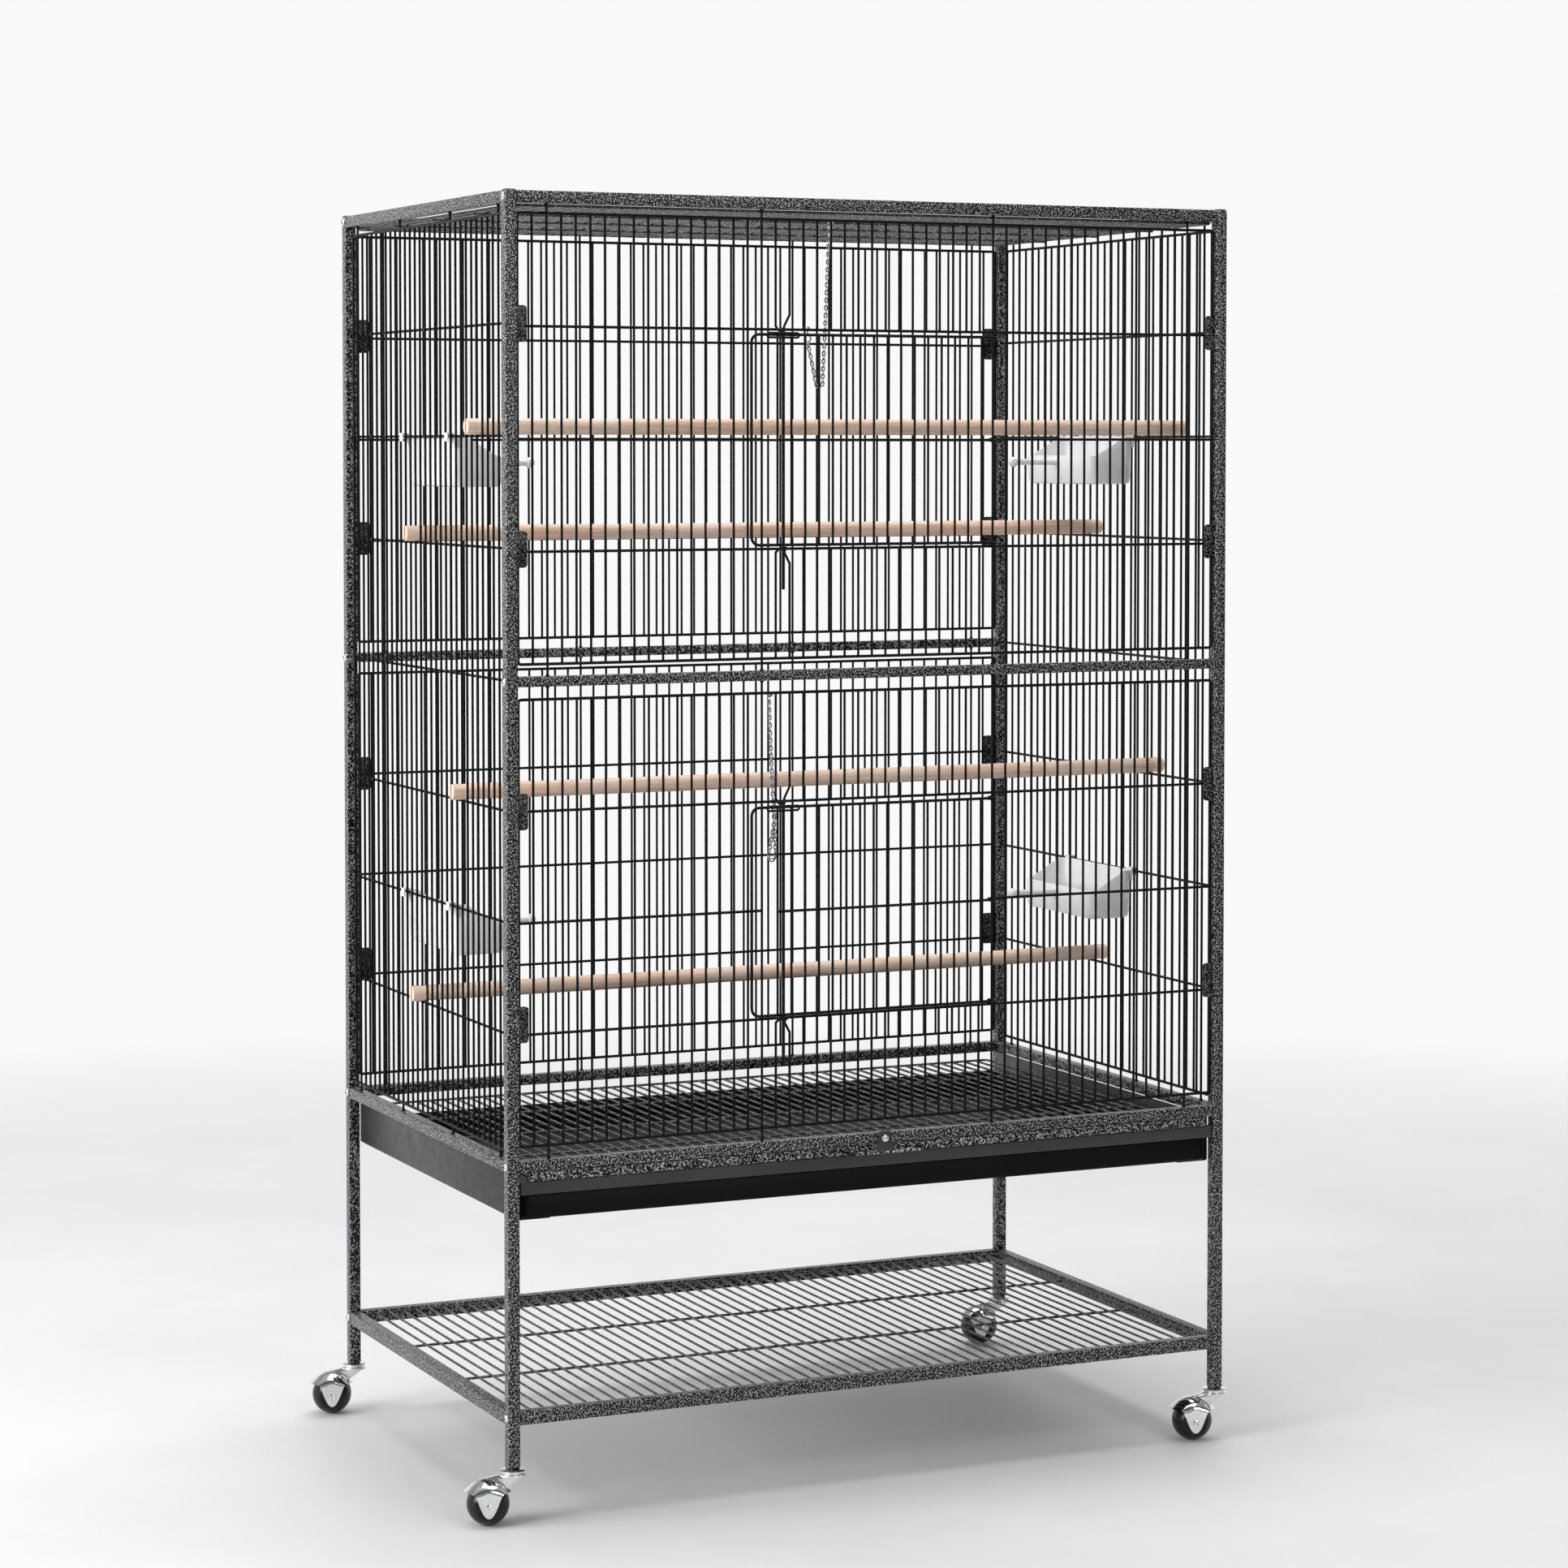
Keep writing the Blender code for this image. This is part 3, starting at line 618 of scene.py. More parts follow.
def corner_tab(put, u0, u1, mid, tall=0.0355):
    """Hammered plate with two rounded corners on its free side."""
    r = 0.0035
    h = tall / 2
    sgn = 1 if u1 > u0 else -1
    pts = [(u0, mid - h)] + [(u1 - sgn * r + sgn * r * math.cos(a), mid - h + r + r * math.sin(a))
                             for a in [math.radians(-90 + 90 * i / 4) for i in range(5)]]
    pts += [(u1 - sgn * r + sgn * r * math.cos(a), mid + h - r + r * math.sin(a))
            for a in [math.radians(90 * i / 4) for i in range(5)]]
    pts += [(u0, mid + h)]
    s = Shape()
    back, face = -0.0006, -0.0023
    n = len(pts)
    bm = bmesh.new()
    ring = [[bm.verts.new(put(u, v, d)) for u, v in pts] for d in (back, face)]
    bm.faces.new(ring[0])
    bm.faces.new(ring[1][::-1])
    for i in range(n):
        k = (i + 1) % n
        bm.faces.new((ring[0][i], ring[1][i], ring[1][k], ring[0][k]))
    bmesh.ops.recalc_face_normals(bm, faces=bm.faces[:])
    rim = [e for e in bm.edges if e.calc_face_angle(0) > 0.9]
    bmesh.ops.bevel(bm, geom=rim, offset=0.0004, segments=2, profile=0.5, affect="EDGES")
    bm.verts.index_update()
    s.add([q.co.copy() for q in bm.verts], [tuple(q.index for q in g.verts) for g in bm.faces])
    bm.free()
    return s


def weld_beads(s, put, u, z0, z1):
    """Small beads where an upright meets the rails below and above it."""
    for z in (z0 + 0.0006, z1 - 0.0006):
        s.tube([put(u, z - 0.0012), put(u, z + 0.0012)], 0.0021, 8)


def front_panel(tier):
    put = front_point(-1)
    rows, (z0, z1) = ROWS[tier], RAILS[tier]
    s = Shape()
    s.tube([put(u, v) for u, v in round_rect(FX[0], FX[-1], rows[0], rows[4], 0.003)], R_EDGE, 10, True)
    a, b = DOOR_COLS
    for i, u in enumerate(FX[1:-1], 1):
        if a < i < b:
            continue
        lo, hi = (z0 - 0.001, z1 + 0.0015) if i in PINS else (rows[0], rows[4])
        s.tube([put(u, lo), put(u, hi)], R_UP)
        if i in PINS:
            weld_beads(s, put, u, z0, z1)
    for i in range(a + 3, b):
        s.tube([put(FX[i], rows[3]), put(FX[i], rows[4])], R_UP)
        s.tube([put(FX[i], rows[0]), put(FX[i], rows[1])], R_UP)
    deep = R_UP + R_ACROSS - 0.0005
    for j in (1, 3):
        s.tube([put(FX[0], rows[j], deep), put(FX[-1], rows[j], deep)], R_ACROSS)
    s.tube([put(FX[0], rows[2], deep), put(FX[a] + 0.001, rows[2], deep)], R_ACROSS)
    s.tube([put(FX[b] - 0.001, rows[2], deep), put(FX[-1], rows[2], deep)], R_ACROSS)
    bolt_catches(s, tier)
    nodes = ["front_panel_%s_%s" % (tier, q) for q in ("left", "right", "above_door", "below_door")]
    s.piece("front_panel_%s" % tier, WIRE, "cage", "wire_paint", nodes)
    t = Shape()
    for mid in TABS[tier]:
        t.join(corner_tab(put, -INX, -INX + 0.0112, mid))
        t.join(corner_tab(put, INX, INX - 0.0112, mid))
    # the tabs take the darkened hammered paint, which is painted shade
    t.piece("front_tabs_%s" % tier, TAB_PAINTED_SHADE, "cage", "hammered_paint")


def bolt_catches(s, tier):
    """Two short uprights over and under the doorway lean together into a loop that holds the bolt."""
    put = front_point(-1)
    rows = ROWS[tier]
    lo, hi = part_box("bolt_" + tier)
    x = (lo[0] + hi[0]) / 2
    left, right = FX[DOOR_COLS[0] + 1], FX[DOOR_COLS[0] + 2]
    gap = 0.0017 + R_UP + 0.0005
    front = (lo[1] + hi[1]) / 2 + YF  # the rod lies this far in front of the panel
    # the upper one stops behind the rod, so the bolt's loop can rise past it
    for edge, row, way, reach in ((rows[4], rows[3], 1, front + 0.0035),
                                  (rows[0], rows[1], -1, front - 0.0024)):
        tip = row - way * 0.0012
        half = [(left, row + way * 0.0145, 0), (x - gap - 0.0012, row + way * 0.0035, -0.0026),
                (x - gap, tip + way * 0.001, reach * 0.6), (x - gap, tip, reach)]
        other = [(x + gap, tip, reach), (x + gap, tip + way * 0.001, reach * 0.6),
                 (x + gap + 0.0012, row + way * 0.0035, -0.0026), (right, row + way * 0.0145, 0)]
        path = [put(left, edge)] + [put(*q) for q in half + other] + [put(right, edge)]
        s.tube(fillet(path, 0.0022, 4), R_UP)


def back_panel(tier):
    put = front_point(1)
    rows, (z0, z1) = ROWS[tier], RAILS[tier]
    s = Shape()
    s.tube([put(u, v) for u, v in round_rect(FX[0], FX[-1], rows[0], rows[4], 0.003)], R_EDGE, 10, True)
    for i, u in enumerate(FX[1:-1], 1):
        lo, hi = (z0 - 0.001, z1 + 0.0015) if i in PINS else (rows[0], rows[4])
        s.tube([put(u, lo), put(u, hi)], R_UP)
        if i in PINS:
            weld_beads(s, put, u, z0, z1)
    for j in (1, 2, 3):
        s.tube([put(FX[0], rows[j], CROSS_BACK), put(FX[-1], rows[j], CROSS_BACK)], R_ACROSS)
    s.piece("back_panel_%s_wires" % tier, WIRE, "cage", "wire_paint", ["back_panel_" + tier])
    t = Shape()
    for mid in TABS[tier]:
        t.join(corner_tab(put, -INX, -INX + BACK_TAB, mid))
        t.join(corner_tab(put, INX, INX - BACK_TAB, mid))
    # the tabs take the darkened hammered paint, which is painted shade
    t.piece("back_tabs_" + tier, TAB_PAINTED_SHADE, "cage", "hammered_paint")


def side_panel(sx, side):
    put = side_point(sx)
    s = Shape()
    rows = SIDE_ROWS
    s.tube([put(u, v) for u, v in round_rect(SY[0], SY[-1], rows[0], rows[-1], 0.003)], R_EDGE, 10, True)
    for i, u in enumerate(SY[1:-1], 1):
        lo, hi = (Z_BASE[1] - 0.001, Z_TOP[0] + 0.0015) if i in SIDE_PINS else (rows[0], rows[-1])
        s.tube([put(u, lo), put(u, hi)], R_UP)
        if i in SIDE_PINS:
            weld_beads(s, put, u, Z_BASE[1], Z_TOP[0])
    for v in rows[1:-1]:
        s.tube([put(-INY + 0.0004, v, CROSS_BACK), put(INY - 0.0004, v, CROSS_BACK)], R_ACROSS)
    n = "side_panel_" + side
    s.piece(n + "_wires", WIRE, "cage", "wire_paint", [n])


def level_grid(node, z, y0, y1, cross, cols, edge_r=R_EDGE):
    put = level_point(z)
    s = Shape()
    s.tube([put(u, v) for u, v in round_rect(cols[0], cols[-1], y0, y1, 0.006)], edge_r, 10, True)
    for u in cols[1:-1]:
        s.tube([put(u, y0), put(u, y1)], R_UP)
    for y in cross:
        s.tube([put(cols[0], y, CROSS_BACK), put(cols[-1], y, CROSS_BACK)], R_ACROSS)
    # the lying wires take the lighter wire paint, which carries painted highlights
    s.piece(node + "_wires", WIRE_LEVEL_PAINTED_HIGHLIGHT, "cage", "wire_paint", [node])


# ------------------------------------------------------------ doors and bolts
def door(tier):
    lo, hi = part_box("door_" + tier)
    x0 = lo[0] + 0.0012
    bot, top = lo[2] + 0.0014, hi[2] - 0.0014
    mid = (bot + top) / 2
    px = FX[DOOR_COLS[1]]
    y = -YF - 0.0045
    er = 0.0034  # eye radius, to the middle of the wire
    end = px - 0.020  # where the edge wire starts to turn into its eyes

    def eye(z):
        pts = [(end, y, z), (px - 0.008, y, z)]
        for i in range(13):
            a = math.radians(-90 + 320 * i / 12)
            pts.append((px + er * math.cos(a), -YF + er * math.sin(a), z + 0.0002 * i - 0.0012))
        return pts

    s = Shape()
    r = 0.008
    left = [(end, y, top), (x0 + r, y, top)]
    left += [(a, y, b) for a, b in arc((x0 + r, top - r), r, 90, 180, 6)][1:]
    left += [(a, y, b) for a, b in arc((x0 + r, bot + r), r, 180, 270, 6)] + [(end, y, bot)]
    ring = eye(top)[::-1][:-1] + left + eye(bot)[1:]
    s.tube(ring, R_EDGE, 10)
    for i in range(DOOR_COLS[0] + 1, DOOR_COLS[1]):
        s.tube([(FX[i], y, bot), (FX[i], y, top)], R_UP)
    yc = y - CROSS_BACK  # the cross wire lies in front of the door's uprights
    s.tube([(FX[DOOR_COLS[0] + 1] - 0.001, yc, mid), (px - 0.016, yc, mid)] + eye(mid)[1:], R_ACROSS)
    s.piece("door_%s_wires" % tier, WIRE, "door_" + tier, "wire_paint", ["door_" + tier])


def bolt(tier):
    lo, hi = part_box("bolt_" + tier)
    x, y = (lo[0] + hi[0]) / 2, (lo[1] + hi[1]) / 2
    door_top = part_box("door_" + tier)[1][2] - 0.0014
    s = Shape()
    s.tube([(x, y, lo[2]), (x, y, hi[2])], 0.0017, 10)
    loop = [(x + u, y, door_top + v) for u, v in round_rect(-0.0172, 0.0172, -0.0030, 0.0014, 0.0021)]
    s.tube(loop, 0.00115, 8, True)
    s.piece("bolt_%s_rod" % tier, WIRE, "bolt_" + tier, "wire_paint", ["bolt_" + tier])


# ------------------------------------------------------------ chains
def link(s, at, along, flip, half=0.0026, r=0.00062, wide=0.0016):
    """One oval link: its long way along the strand, turned a quarter on every other link."""
    t = Vector(along).normalized()
    side = t.cross(Vector((0, 1, 0))).normalized()
    w = side if flip else Vector((0, 1, 0))
    pts = []
    for i in range(14):
        a = 2 * math.pi * i / 14
        pts.append(Vector(at) + t * half * math.cos(a) + w * wide * math.sin(a))
    s.tube(pts, r, 6, True)


def chain(tier, top, low, clasp):
    """Small-link chain that hangs from the panel's top wire and comes back up to its spring clasp."""
    y = (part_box("chain_" + tier)[0][1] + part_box("chain_" + tier)[1][1]) / 2
    (x0, z0), (xl, zl), (x1, z1) = top, low, clasp
    route = [Vector((x0, y, z0))]
    n = 60
    bend = 0.0075  # how wide the bottom of the loop is
    for i in range(1, n + 1):
        t = i / n
        route.append(Vector((x0 + (xl + bend * 0.5 - x0) * t ** 1.15, y, z0 + (zl + bend - z0) * t)))
    for u, v in arc((xl, zl + bend * 0.6), bend * 0.5, -10, -170, 8):
        route.append(Vector((u, y, v)))
    for i in range(1, n + 1):
        t = i / n
        route.append(Vector((xl - bend * 0.5 + (x1 - xl + bend * 0.5) * t ** 1.1, y,
                             zl + bend * 0.4 + (z1 - 0.014 - zl - bend * 0.4) * t)))
    pitch, s = 0.0038, Shape()
    walked, k, nxt = 0.0, 0, 0.0
    for a, b in zip(route, route[1:]):
        d = (b - a).length
        while nxt <= walked + d:
            f = (nxt - walked) / d
            link(s, a.lerp(b, f), b - a, k % 2 == 0)
            k += 1
            nxt += pitch
        walked += d
    # ring at the top, clasp at the free end
    rr = 0.0027
    ring = [(x0 + rr * math.cos(a), y - 0.0022 + rr * math.sin(a) * 0.9, z0 + 0.0012 * math.cos(2 * a))
            for a in [2 * math.pi * i / 16 for i in range(16)]]
    s.tube(ring, 0.0005, 6, True)
    clasp_pts = [(x1 + u, y, z1 - 0.0135 + v) for u, v in arc((0, 0.004), 0.0032, -90, 250, 18)]
    s.tube(clasp_pts, 0.00085, 8)
    xh = x1 - 0.0006
    hook = fillet([(x1, y, z1 - 0.0125 + 0.0070), (xh, y, z1 - 0.001), (xh, y - 0.0030, z1 + 0.0032),
                   (xh, y - 0.0052, z1)], 0.0014, 4)
    s.tube(hook, 0.0008, 8)
    s.piece("chain_%s_links" % tier, CHAIN, "cage", "chain_steel", ["chain_" + tier])


# ------------------------------------------------------------ grate, tray, lock tab
def grate():
    lo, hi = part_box("grate")
    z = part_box("lock_tab")[0][2] - 0.0015  # the wires pass just under the lock tab
    s = Shape()
    cols = FX[1:-1]
    back = hi[1] - 0.0014
    s.tube(fillet([(cols[0], GRATE_FRONT, z), (cols[0], back, z), (cols[-1], back, z),
                   (cols[-1], GRATE_FRONT, z)], 0.006), R_UP, 10)
    for u in cols[1:-1]:
        s.tube([(u, GRATE_FRONT, z), (u, back, z)], R_UP)
    for y in (-0.12, 0.0, 0.12):
        s.tube([(cols[0], y, z), (cols[-1], y, z)], R_UP)
    # the grate's wires take the lighter wire paint, which carries painted highlights
    s.piece("grate_wires", WIRE_LEVEL_PAINTED_HIGHLIGHT, "grate", "wire_paint", ["grate"])
    # pull: two legs out of the front bar in the dark wire paint, which paints shade on them, and a speckled
    # wire between them in a lighter copy of the hammered paint, which paints a highlight on it
    x0, x1, z = -0.0430, 0.0400, 0.3385
    out = lo[1] - 0.0080  # the wire bows out a little past the plain solid
    turn = 0.0045
    for x, way in ((x0, 1), (x1, -1)):
        leg = [(x, -0.2455, z)] + [(x + way * turn * (1 - math.cos(a)), out + turn * (1 - math.sin(a)), z)
                                   for a in [math.radians(18 * i) for i in range(6)]]
        Shape().tube(leg, 0.0014, 10).piece(
            "grate_pull_leg_" + ("left" if way > 0 else "right"), WIRE, "grate", "wire_paint")
    # the bar's lighter hammered paint is a painted highlight
    Shape().tube([(x0 + turn - 0.001, out, z), (x1 - turn + 0.001, out, z)], 0.00145, 10).piece(
        "grate_pull_bar", PULL_PAINTED_HIGHLIGHT, "grate", "wire_paint")
    # front bar in two levels: full height beside the lock tab, low behind it
    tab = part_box("lock_tab")
    xc, half = (tab[0][0] + tab[1][0]) / 2, 0.0112
    w, top, step, bottom = 0.3780, Z_BASE[0] - 0.0003, 0.3356, 0.3335
    outline = [(-w, bottom), (w, bottom), (w, top), (xc + half, top), (xc + half, step),
               (xc - half, step), (xc - half, top), (-w, top)]
    Shape().extrude(outline, -HD - 0.0006, -0.2420, "XZ", 0.0010).piece(
        "grate_front_bar", HAMMER, "grate", "hammered_paint")


def tray():
    lo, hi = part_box("tray")
    body_front, wall = -0.2440, 0.0015
    x1, y1, z0, z1 = 0.3855, hi[1], lo[2], 0.3220

    def ring(inset, z, r):
        return [(u, v, z) for u, v in round_rect(-x1 + inset, x1 - inset, body_front + inset, y1 - inset, r, 5)]

    # pan with rounded upright corners: the outside, then the rim, then the inside; its plastic is darkened as
    # painted shade
    shell([ring(0.0020, z0, 0.010), ring(0.0, z0 + 0.0020, 0.012), ring(0.0, z1 - 0.0006, 0.012),
           ring(0.0004, z1, 0.012), ring(wall - 0.0004, z1, 0.011), ring(wall, z1 - 0.0006, 0.011),
           ring(wall, z0 + 0.0040, 0.011), ring(wall + 0.0022, z0 + 0.0018, 0.009)]).piece(
        "tray_pan", TRAY_PAINTED_SHADE, "tray", "tray_plastic", ["tray"])
    lip = Shape().box((lo[0], lo[1], 0.3205), (hi[0], -0.2426, hi[2]), 0.0012)
    lip.piece("tray_lip", TRAY, "tray", "tray_plastic")


def lock_tab():
    lo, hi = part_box("lock_tab")
    xc = (lo[0] + hi[0]) / 2
    wide, narrow = (hi[0] - lo[0]) / 2, 0.0060
    pts = [(-narrow + 0.0008, hi[2]), (-narrow, hi[2] - 0.0010)]
    pts += [(-wide, lo[2] + 0.0012), (-wide + 0.0012, lo[2])]
    pts += [(wide - 0.0012, lo[2]), (wide, lo[2] + 0.0012)]
    pts += [(narrow, hi[2] - 0.0010), (narrow - 0.0008, hi[2])]
    Shape().extrude([(xc + a, b) for a, b in pts], -0.2523, -0.2512, "XZ", 0.0003).piece(
        "lock_tab_plate", TRAY, "lock_tab", "hammered_paint", ["lock_tab"])
    screw_at((xc, -0.2522, POST_SCREWS[2]), (0, -1, 0), 0.5, 0.92).piece(
        "lock_tab_screw", SCREW, "lock_tab", "chrome")


# ------------------------------------------------------------ perches
def perch(tag):
    """Dowel with a saw slot in each end, which straddles one side wire."""
    lo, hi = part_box("perch_" + tag)
    y, z, r = (lo[1] + hi[1]) / 2, (lo[2] + hi[2]) / 2, (hi[2] - lo[2]) / 2
    end, bev = hi[0], 0.0010
    s = Shape().revolve([(0, -end), (r - bev, -end), (r - bev * 0.3, -end + bev * 0.3), (r, -end + bev),
                         (r, -0.25), (r, 0.0), (r, 0.25), (r, end - bev), (r - bev * 0.3, end - bev * 0.3),
                         (r - bev, end), (0, end)], 32)
    s.mapped(aim((1, 0, 0), (0, y, z)))
    cut = Shape()
    for sx in (-1, 1):
        a, b = sorted((sx * (XS - 0.0050), sx * (end + 0.01)))
        cut.box((a, y - 0.0016, z - r - 0.005), (b, y + 0.0016, z + r + 0.005))
    carve(s, cut).piece("perch_%s_dowel" % tag, WOOD, "cage", "wood", ["perch_" + tag])


# ------------------------------------------------------------ feeders
def feeder(tier, side):
    """Hung cup: a low lip towards the birds, a tall back, and a small perch rod out of the lip."""
    node = "feeder_%s_%s" % (tier, side)
    lo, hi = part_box(node)
    sx = -1 if side == "left" else 1
    row = FEEDER_ROW[tier]
    back = 0.3895  # outer face of the back wall
    deep, half, tall = 0.0540, (hi[1] - lo[1]) / 2, 0.0520
    zt = hi[2] - 0.0030
    zb = zt - tall
    lip = 0.0310  # height of the front wall
    wall = 0.0016

    def ring(inset, zfun, r):
        """Rounded rectangle in plan; its height may change with the distance from the back."""
        out = []
        for u, v in round_rect(0 + inset, deep - inset, -half + inset, half - inset, r, 5):
            out.append((sx * (back - u), v, zfun(u)))
        return out

    def rim(u):  # falls from the tall back to the lip
        t = min(max((u - 0.010) / (deep - 0.018), 0.0), 1.0)
        return zt + (zb + lip - zt) * t

    s = shell([ring(0.0060, lambda u: zb, 0.006), ring(0.0020, lambda u: zb + 0.0012, 0.009),
               ring(0.0006, lambda u: zb + 0.0050, 0.010), ring(0.0, lambda u: zb + 0.016, 0.010),
               ring(0.0, lambda u: rim(u) - 0.0006, 0.010), ring(0.0004, rim, 0.010),
               ring(wall - 0.0004, rim, 0.0088), ring(wall, lambda u: rim(u) - 0.0006, 0.0085),
               ring(wall, lambda u: zb + 0.016, 0.0085), ring(0.0006 + wall, lambda u: zb + 0.0060, 0.0085),
               ring(0.0032 + wall, lambda u: zb + 0.0022, 0.006)], sx > 0)
    for y in (-0.06885, 0.06885):
        # hook: up from the back wall, over the cross wire and down outside it
        a, b = sorted((sx * (back - 0.0018), sx * back))
        s.box((a, y - 0.0060, zt - 0.0120), (b, y + 0.0060, row + 0.0036), 0.0005)
        a, b = sorted((sx * (back - 0.0012), sx * 0.3966))
        s.box((a, y - 0.0044, row + 0.0019), (b, y + 0.0044, row + 0.0037), 0.0005)
        a, b = sorted((sx * 0.3950, sx * 0.3967))
        s.box((a, y - 0.0044, row - 0.0050), (b, y + 0.0044, row + 0.0037), 0.0005)
    # perch rod out of the lip's middle, with a boss at its foot and a bulb at its end
    xr, zr = sx * (back - deep), zb + lip - 0.0070
    bulb = 0.0055
    profile = [(0, -0.0009), (0.0060, -0.0009), (0.0058, 0.0012), (0.0040, 0.0024), (0.0035, 0.0040),
               (0.0033, 0.0500)]
    profile += [(bulb - 0.0022 * math.cos(math.radians(a)), 0.0500 + 0.0022 * math.sin(math.radians(a)))
                for a in (30, 60, 90)]
    profile += [(bulb * math.cos(math.radians(a)), 0.0548 + 0.0052 * math.sin(math.radians(a)))
                for a in (0, 20, 40, 60, 75)]
    profile += [(0, 0.0600)]
    rod = Shape().revolve(profile, 20)
    rod.mapped(aim((-sx, 0, 0), (xr, 0, zr)))
    s.join(rod)
    s.piece(node + "_cup", FEEDER, node, "feeder_plastic", [node])


# ------------------------------------------------------------ castors
def castor(name, sx, sy):
    """Hooded ball castor: two swivel discs, an arm, a hood with a tongue each side, and a split ball."""
    swing = math.radians(-17.0)
    joint = [j for j in frame["joints"] if j["name"] == "wheel_%s_roll" % name][0]
    xc, yc = sx * XS, sy * YF
    ball_c = Vector(joint["pos_m"])
    trail = math.hypot(ball_c.x - xc, ball_c.y - yc)
    rb = ball_c.z
    spin = turn_z(swing, (xc, yc, 0))
    c = Vector((-trail, 0, rb))

    # ball: two shells either side of a thin web, with flat hubs
    s = Shape()
    flat = 0.0162
    n = 18
    lim = math.asin(flat / rb)
    prof = [(0.0, -flat + 0.0012), (0.0040, -flat + 0.0012), (0.0046, -flat)]
    for i in range(n + 1):
        a = -lim + 2 * lim * i / n
        prof.append((rb * math.cos(a), rb * math.sin(a)))
        if i == n // 2:
            w, g = 0.0006, 0.0008
            prof[-1:] = [(rb, -w), (rb - g, -w * 0.5), (rb - g, w * 0.5), (rb, w)]
    prof += [(0.0046, flat), (0.0040, flat - 0.0012), (0.0, flat - 0.0012)]
    s.revolve(prof, 40)
    s.mapped(aim((0, 1, 0), c)).mapped(spin)
    s.piece("wheel_%s_ball" % name, BALL, "wheel_" + name, "wheel_plastic", ["wheel_" + name])

    # hood: part of a sphere whose edge dips into a tongue at each axle end and flares behind
    ro, thick = 0.0246, 0.0011
    cols, rows = 72, 16
    outer, inner = [], []
    for j in range(rows + 1):
        for i in range(cols):
            phi = 2 * math.pi * i / cols
            side_d = abs(abs((phi % math.pi) - math.pi / 2))  # 0 at the axle ends
            tongue = math.exp(-((side_d / 0.40) ** 2.6))
            edge = math.radians(61 + 55 * tongue)
            th = edge * j / rows
            flare = 0.0020 * (j / rows) ** 5 * (1 - tongue)
            r = ro + flare
            for store, rr in ((outer, r), (inner, r - thick)):
                p = Vector((rr * math.sin(th) * math.cos(phi), rr * math.sin(th) * math.sin(phi),
                            rr * math.cos(th)))
                lim_y = 0.0189 if store is outer else 0.0189 - thick
                if abs(p.y) > lim_y:  # the tongues lie flat against the ball's hubs
                    p.y = math.copysign(lim_y, p.y)
                store.append(p + c)
    v = outer + inner
    o2 = len(outer)
    f = []
    for j in range(rows):
        for i in range(cols):
            k = (i + 1) % cols
            a, b, d, e = j * cols + i, j * cols + k, (j + 1) * cols + k, (j + 1) * cols + i
            if j == 0:
                f.append((0, cols + i, cols + k))
                f.append((o2, o2 + cols + k, o2 + cols + i))
                continue
            f.append((a, e, d, b))
            f.append((o2 + a, o2 + b, o2 + d, o2 + e))
    for i in range(cols):
        k = (i + 1) % cols
        a, b = rows * cols + i, rows * cols + k
        f.append((a, o2 + a, o2 + b, b))
    hood = Shape().add(v, f)
    hood.mapped(spin)
    hood_ob = Shape()
    used = sorted({i for q in hood.f for i in q})
    remap = {o: n_ for n_, o in enumerate(used)}
    hood_ob.v = [hood.v[i] for i in used]
    hood_ob.f = [tuple(remap[i] for i in q) for q in hood.f]
    hood_ob.piece("castor_%s_hood" % name, CHROME, "castor_" + name, "chrome",
                  ["castor_hood_" + name], 50)

    # swivel discs with a rolled edge, the arm, the axle's rivets
    d = Shape()
    z0, z1 = 0.0472, Z_POST[0] - 0.0003
    d.revolve([(0, z0), (0.0120, z0), (0.0130, z0 + 0.0006), (0.0130, z0 + 0.0022), (0.0120, z0 + 0.0028),
               (0.0104, z0 + 0.0032), (0.0104, z1 - 0.0026), (0.0122, z1 - 0.0023), (0.0128, z1 - 0.0018),
               (0.0128, z1 - 0.0010), (0.0118, z1 - 0.0005), (0.0074, z1), (0, z1)], 36)
    arm = [(0.0098, z0), (0.0098, 0.0490), (-0.0100, 0.0490), (-trail + 0.004, 0.0466),
           (-trail - 0.004, 0.0450), (-trail - 0.004, 0.0436), (-trail + 0.0120, 0.0400),
           (-0.0075, 0.0350), (-0.0040, 0.0372)]
    arm_s = Shape().extrude(arm, -0.0046, 0.0046, "XZ", 0.0012)
    d.join(arm_s)
    d.mapped(spin)
    d.piece("castor_%s_swivel" % name, CHROME, "castor_" + name, "chrome")
    rv = Shape()
    rivet = [(0, -0.0042), (0.0019, -0.0042), (0.0019, 0.0), (0.0031, 0.0), (0.0029, 0.0007),
             (0.0020, 0.0011), (0.0016, 0.0008), (0.0, 0.0005)]
    for sg in (-1, 1):
        q = Shape().revolve(rivet, 20)
        q.mapped(aim((0, sg, 0), c + Vector((0, sg * 0.0188, 0))))
        rv.join(q)
    rv.mapped(spin)
    rv.piece("castor_%s_rivets" % name, CHROME, "castor_" + name, "chrome")


# ------------------------------------------------------------ build
frame_tubes()
tray_channels()
for tier in ("upper", "lower"):
    front_panel(tier)
    back_panel(tier)
    door(tier)
    bolt(tier)
for sx, side in SIDES:
    side_panel(sx, side)
    for tier in ("upper", "lower"):
        feeder(tier, side)
level_grid("roof_grid", 1.2772, -0.2405, 0.2405, (-0.12, 0.0, 0.12), FX)
level_grid("shelf_grid", 0.1065, -0.2363, 0.2363, (-0.079, 0.079), FX)
chain("upper", (-0.0520, 1.2668), (-0.0630, 1.1040), (-0.0755, 1.1620))
chain("lower", (-0.1180, 0.7985), (-0.1146, 0.6330), (-0.1110, 0.6930))
grate()
tray()
lock_tab()
for tag in "abcd":
    perch(tag)
for sx, sy, name in CORNERS:
    castor(name, sx, sy)


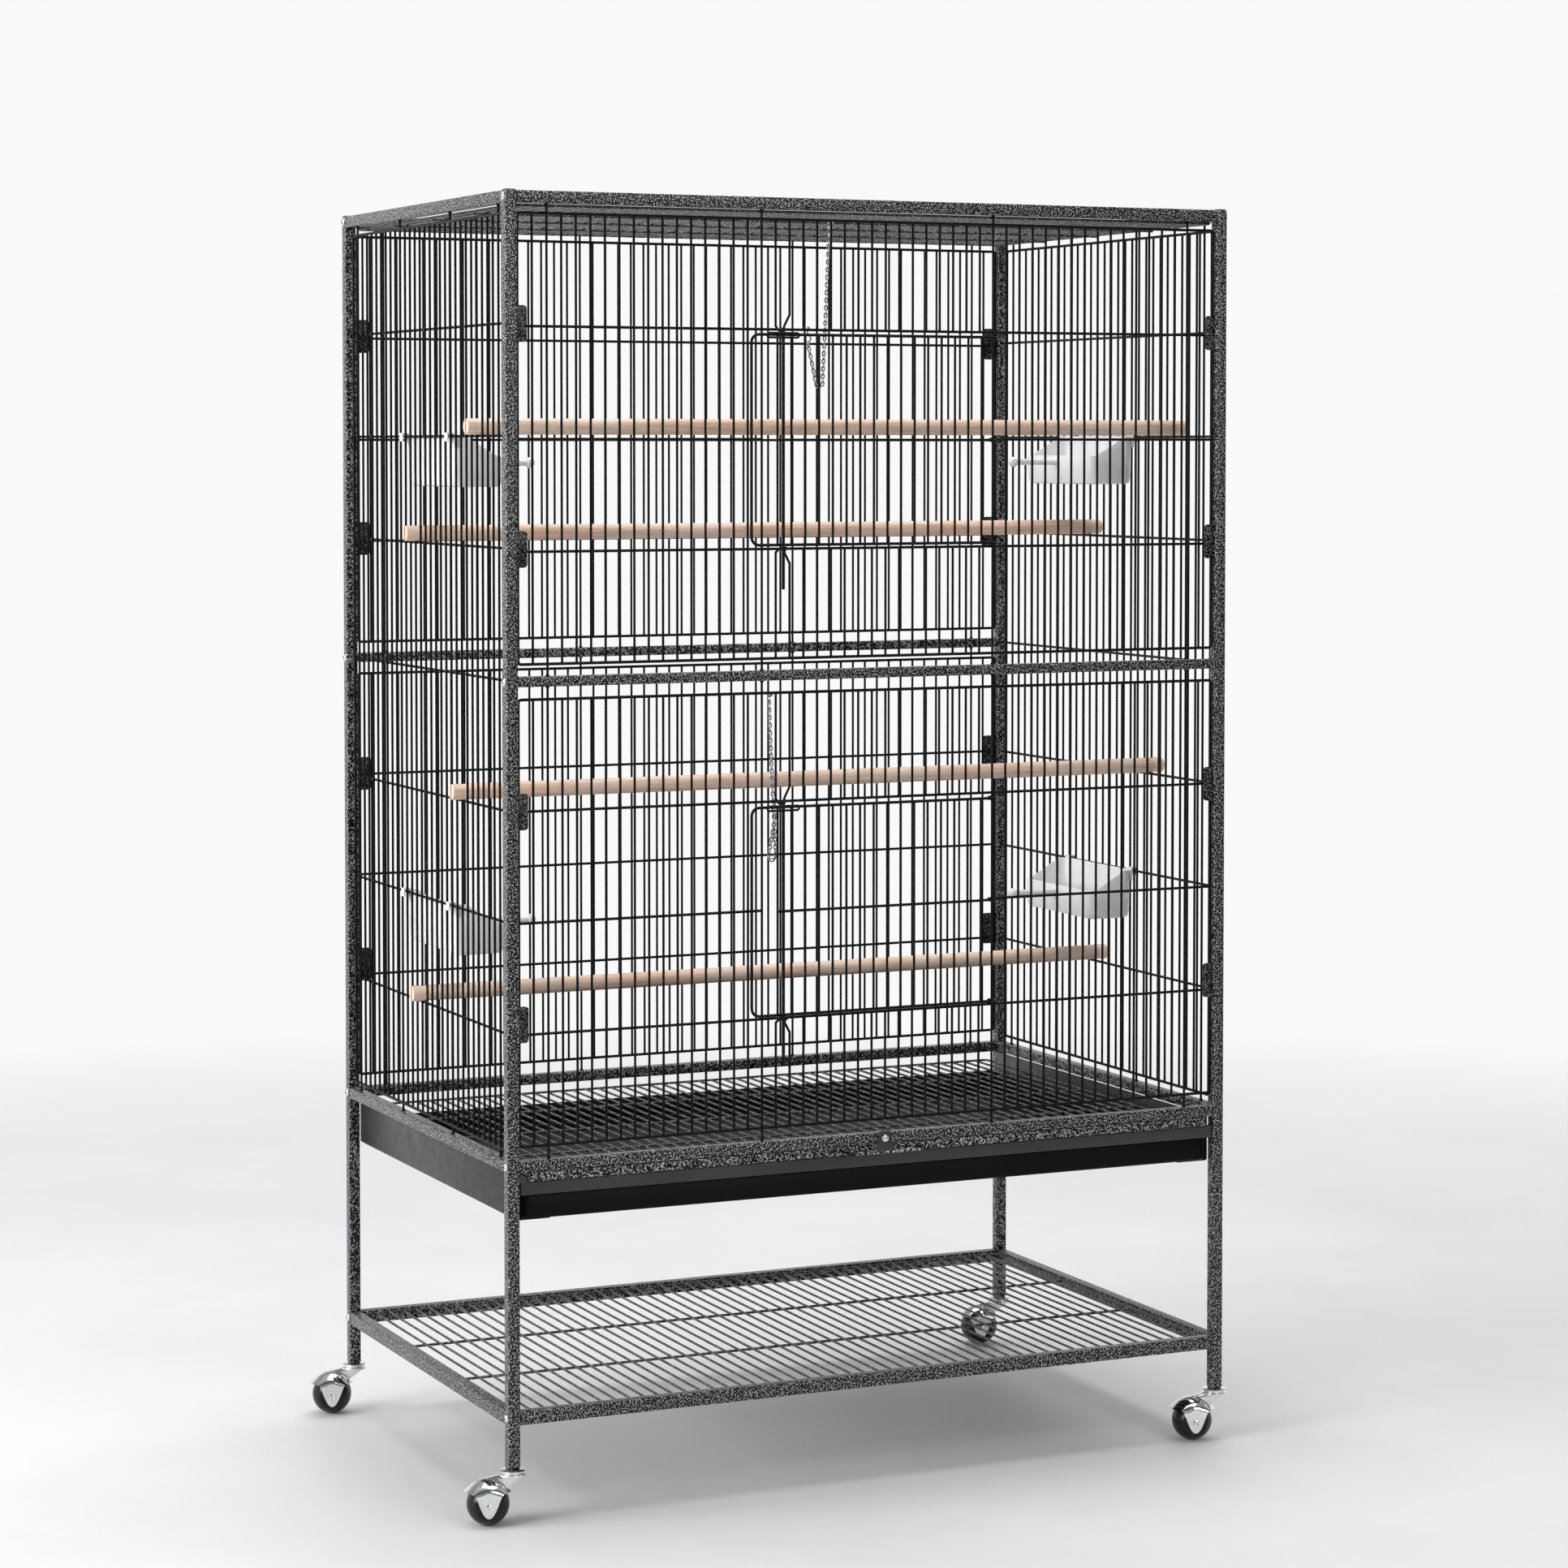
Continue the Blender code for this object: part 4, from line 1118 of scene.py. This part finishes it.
# ------------------------------------------------------------ floor, light, camera
def floor():
    m, nt, b = new_material("studio_floor")
    vec = place(nt)
    cloud = noise(nt, vec, 2.2, 4.0, 0.6)
    tint = ramp(nt, cloud, [(0.3, (0.60, 0.61, 0.62)), (0.7, (0.67, 0.68, 0.685))])
    nt.links.new(tint, b.inputs["Base Color"])
    b.inputs["Roughness"].default_value = 0.55
    reach = nt.nodes.new("ShaderNodeVectorMath")
    reach.operation = "LENGTH"
    nt.links.new(vec, reach.inputs[0])
    nt.links.new(span(nt, reach.outputs["Value"], 1.0, 0.0, 1.3, 2.9), b.inputs["Alpha"])
    me = bpy.data.meshes.new("studio_floor")
    n, r = 64, 3.0
    me.from_pydata(circle(r, n, 0), [], [tuple(range(n))])
    me.materials.append(m)
    ob = bpy.data.objects.new("studio_floor", me)
    bpy.context.scene.collection.objects.link(ob)


def lamp(name, place_, target, size, power, size_y=None):
    d = bpy.data.lights.new(name, "AREA")
    d.energy, d.size = power, size
    if size_y:
        d.shape, d.size_y = "RECTANGLE", size_y
    o = bpy.data.objects.new(name, d)
    o.location = place_
    o.rotation_euler = (Vector(target) - Vector(place_)).to_track_quat("-Z", "Y").to_euler()
    bpy.context.scene.collection.objects.link(o)


def lights():
    lamp("window_left", (-3.6, -0.4, 1.9), (0, 0, 0.7), 2.4, 150, 2.6)
    lamp("soft_front", (0.8, -4.2, 2.6), (0, 0, 0.7), 2.6, 55)
    lamp("soft_top", (0.3, 0.4, 3.6), (0, 0, 0.5), 2.8, 110)
    w = bpy.data.worlds.new("studio")
    w.use_nodes = True
    bg = w.node_tree.nodes["Background"]
    nt = w.node_tree
    tc = nt.nodes.new("ShaderNodeTexCoord")
    split = nt.nodes.new("ShaderNodeSeparateXYZ")
    nt.links.new(tc.outputs["Generated"], split.inputs[0])
    sky = ramp(nt, span(nt, split.outputs["Z"], 0.0, 1.0, -1.0, 1.0), [
        (0.0, grey(1.0)), (0.66, grey(1.0)), (0.74, grey(0.50)), (0.84, grey(0.28)), (1.0, grey(0.60))])
    front = span(nt, split.outputs["Y"], 0.30, 1.0, -0.45, 0.10)  # darker behind the camera
    dim = nt.nodes.new("ShaderNodeVectorMath")
    dim.operation = "SCALE"
    nt.links.new(sky, dim.inputs[0])
    nt.links.new(front, dim.inputs["Scale"])
    nt.links.new(dim.outputs[0], bg.inputs["Color"])
    bg.inputs["Strength"].default_value = 0.95
    bpy.context.scene.world = w


def camera():
    d = bpy.data.cameras.new("camera")
    d.sensor_width = 36.0
    d.lens = 36.0 * 2.5026
    d.shift_x, d.shift_y = -0.0078, -0.1141
    o = bpy.data.objects.new("camera", d)
    o.location = (-1.7197, -3.7860, 1.0455)
    o.rotation_euler = (math.radians(90 - 2.318), 0, math.radians(-24.693))
    bpy.context.scene.collection.objects.link(o)
    bpy.context.scene.camera = o


floor()
lights()
camera()
bpy.context.scene.view_settings.view_transform = "Standard"
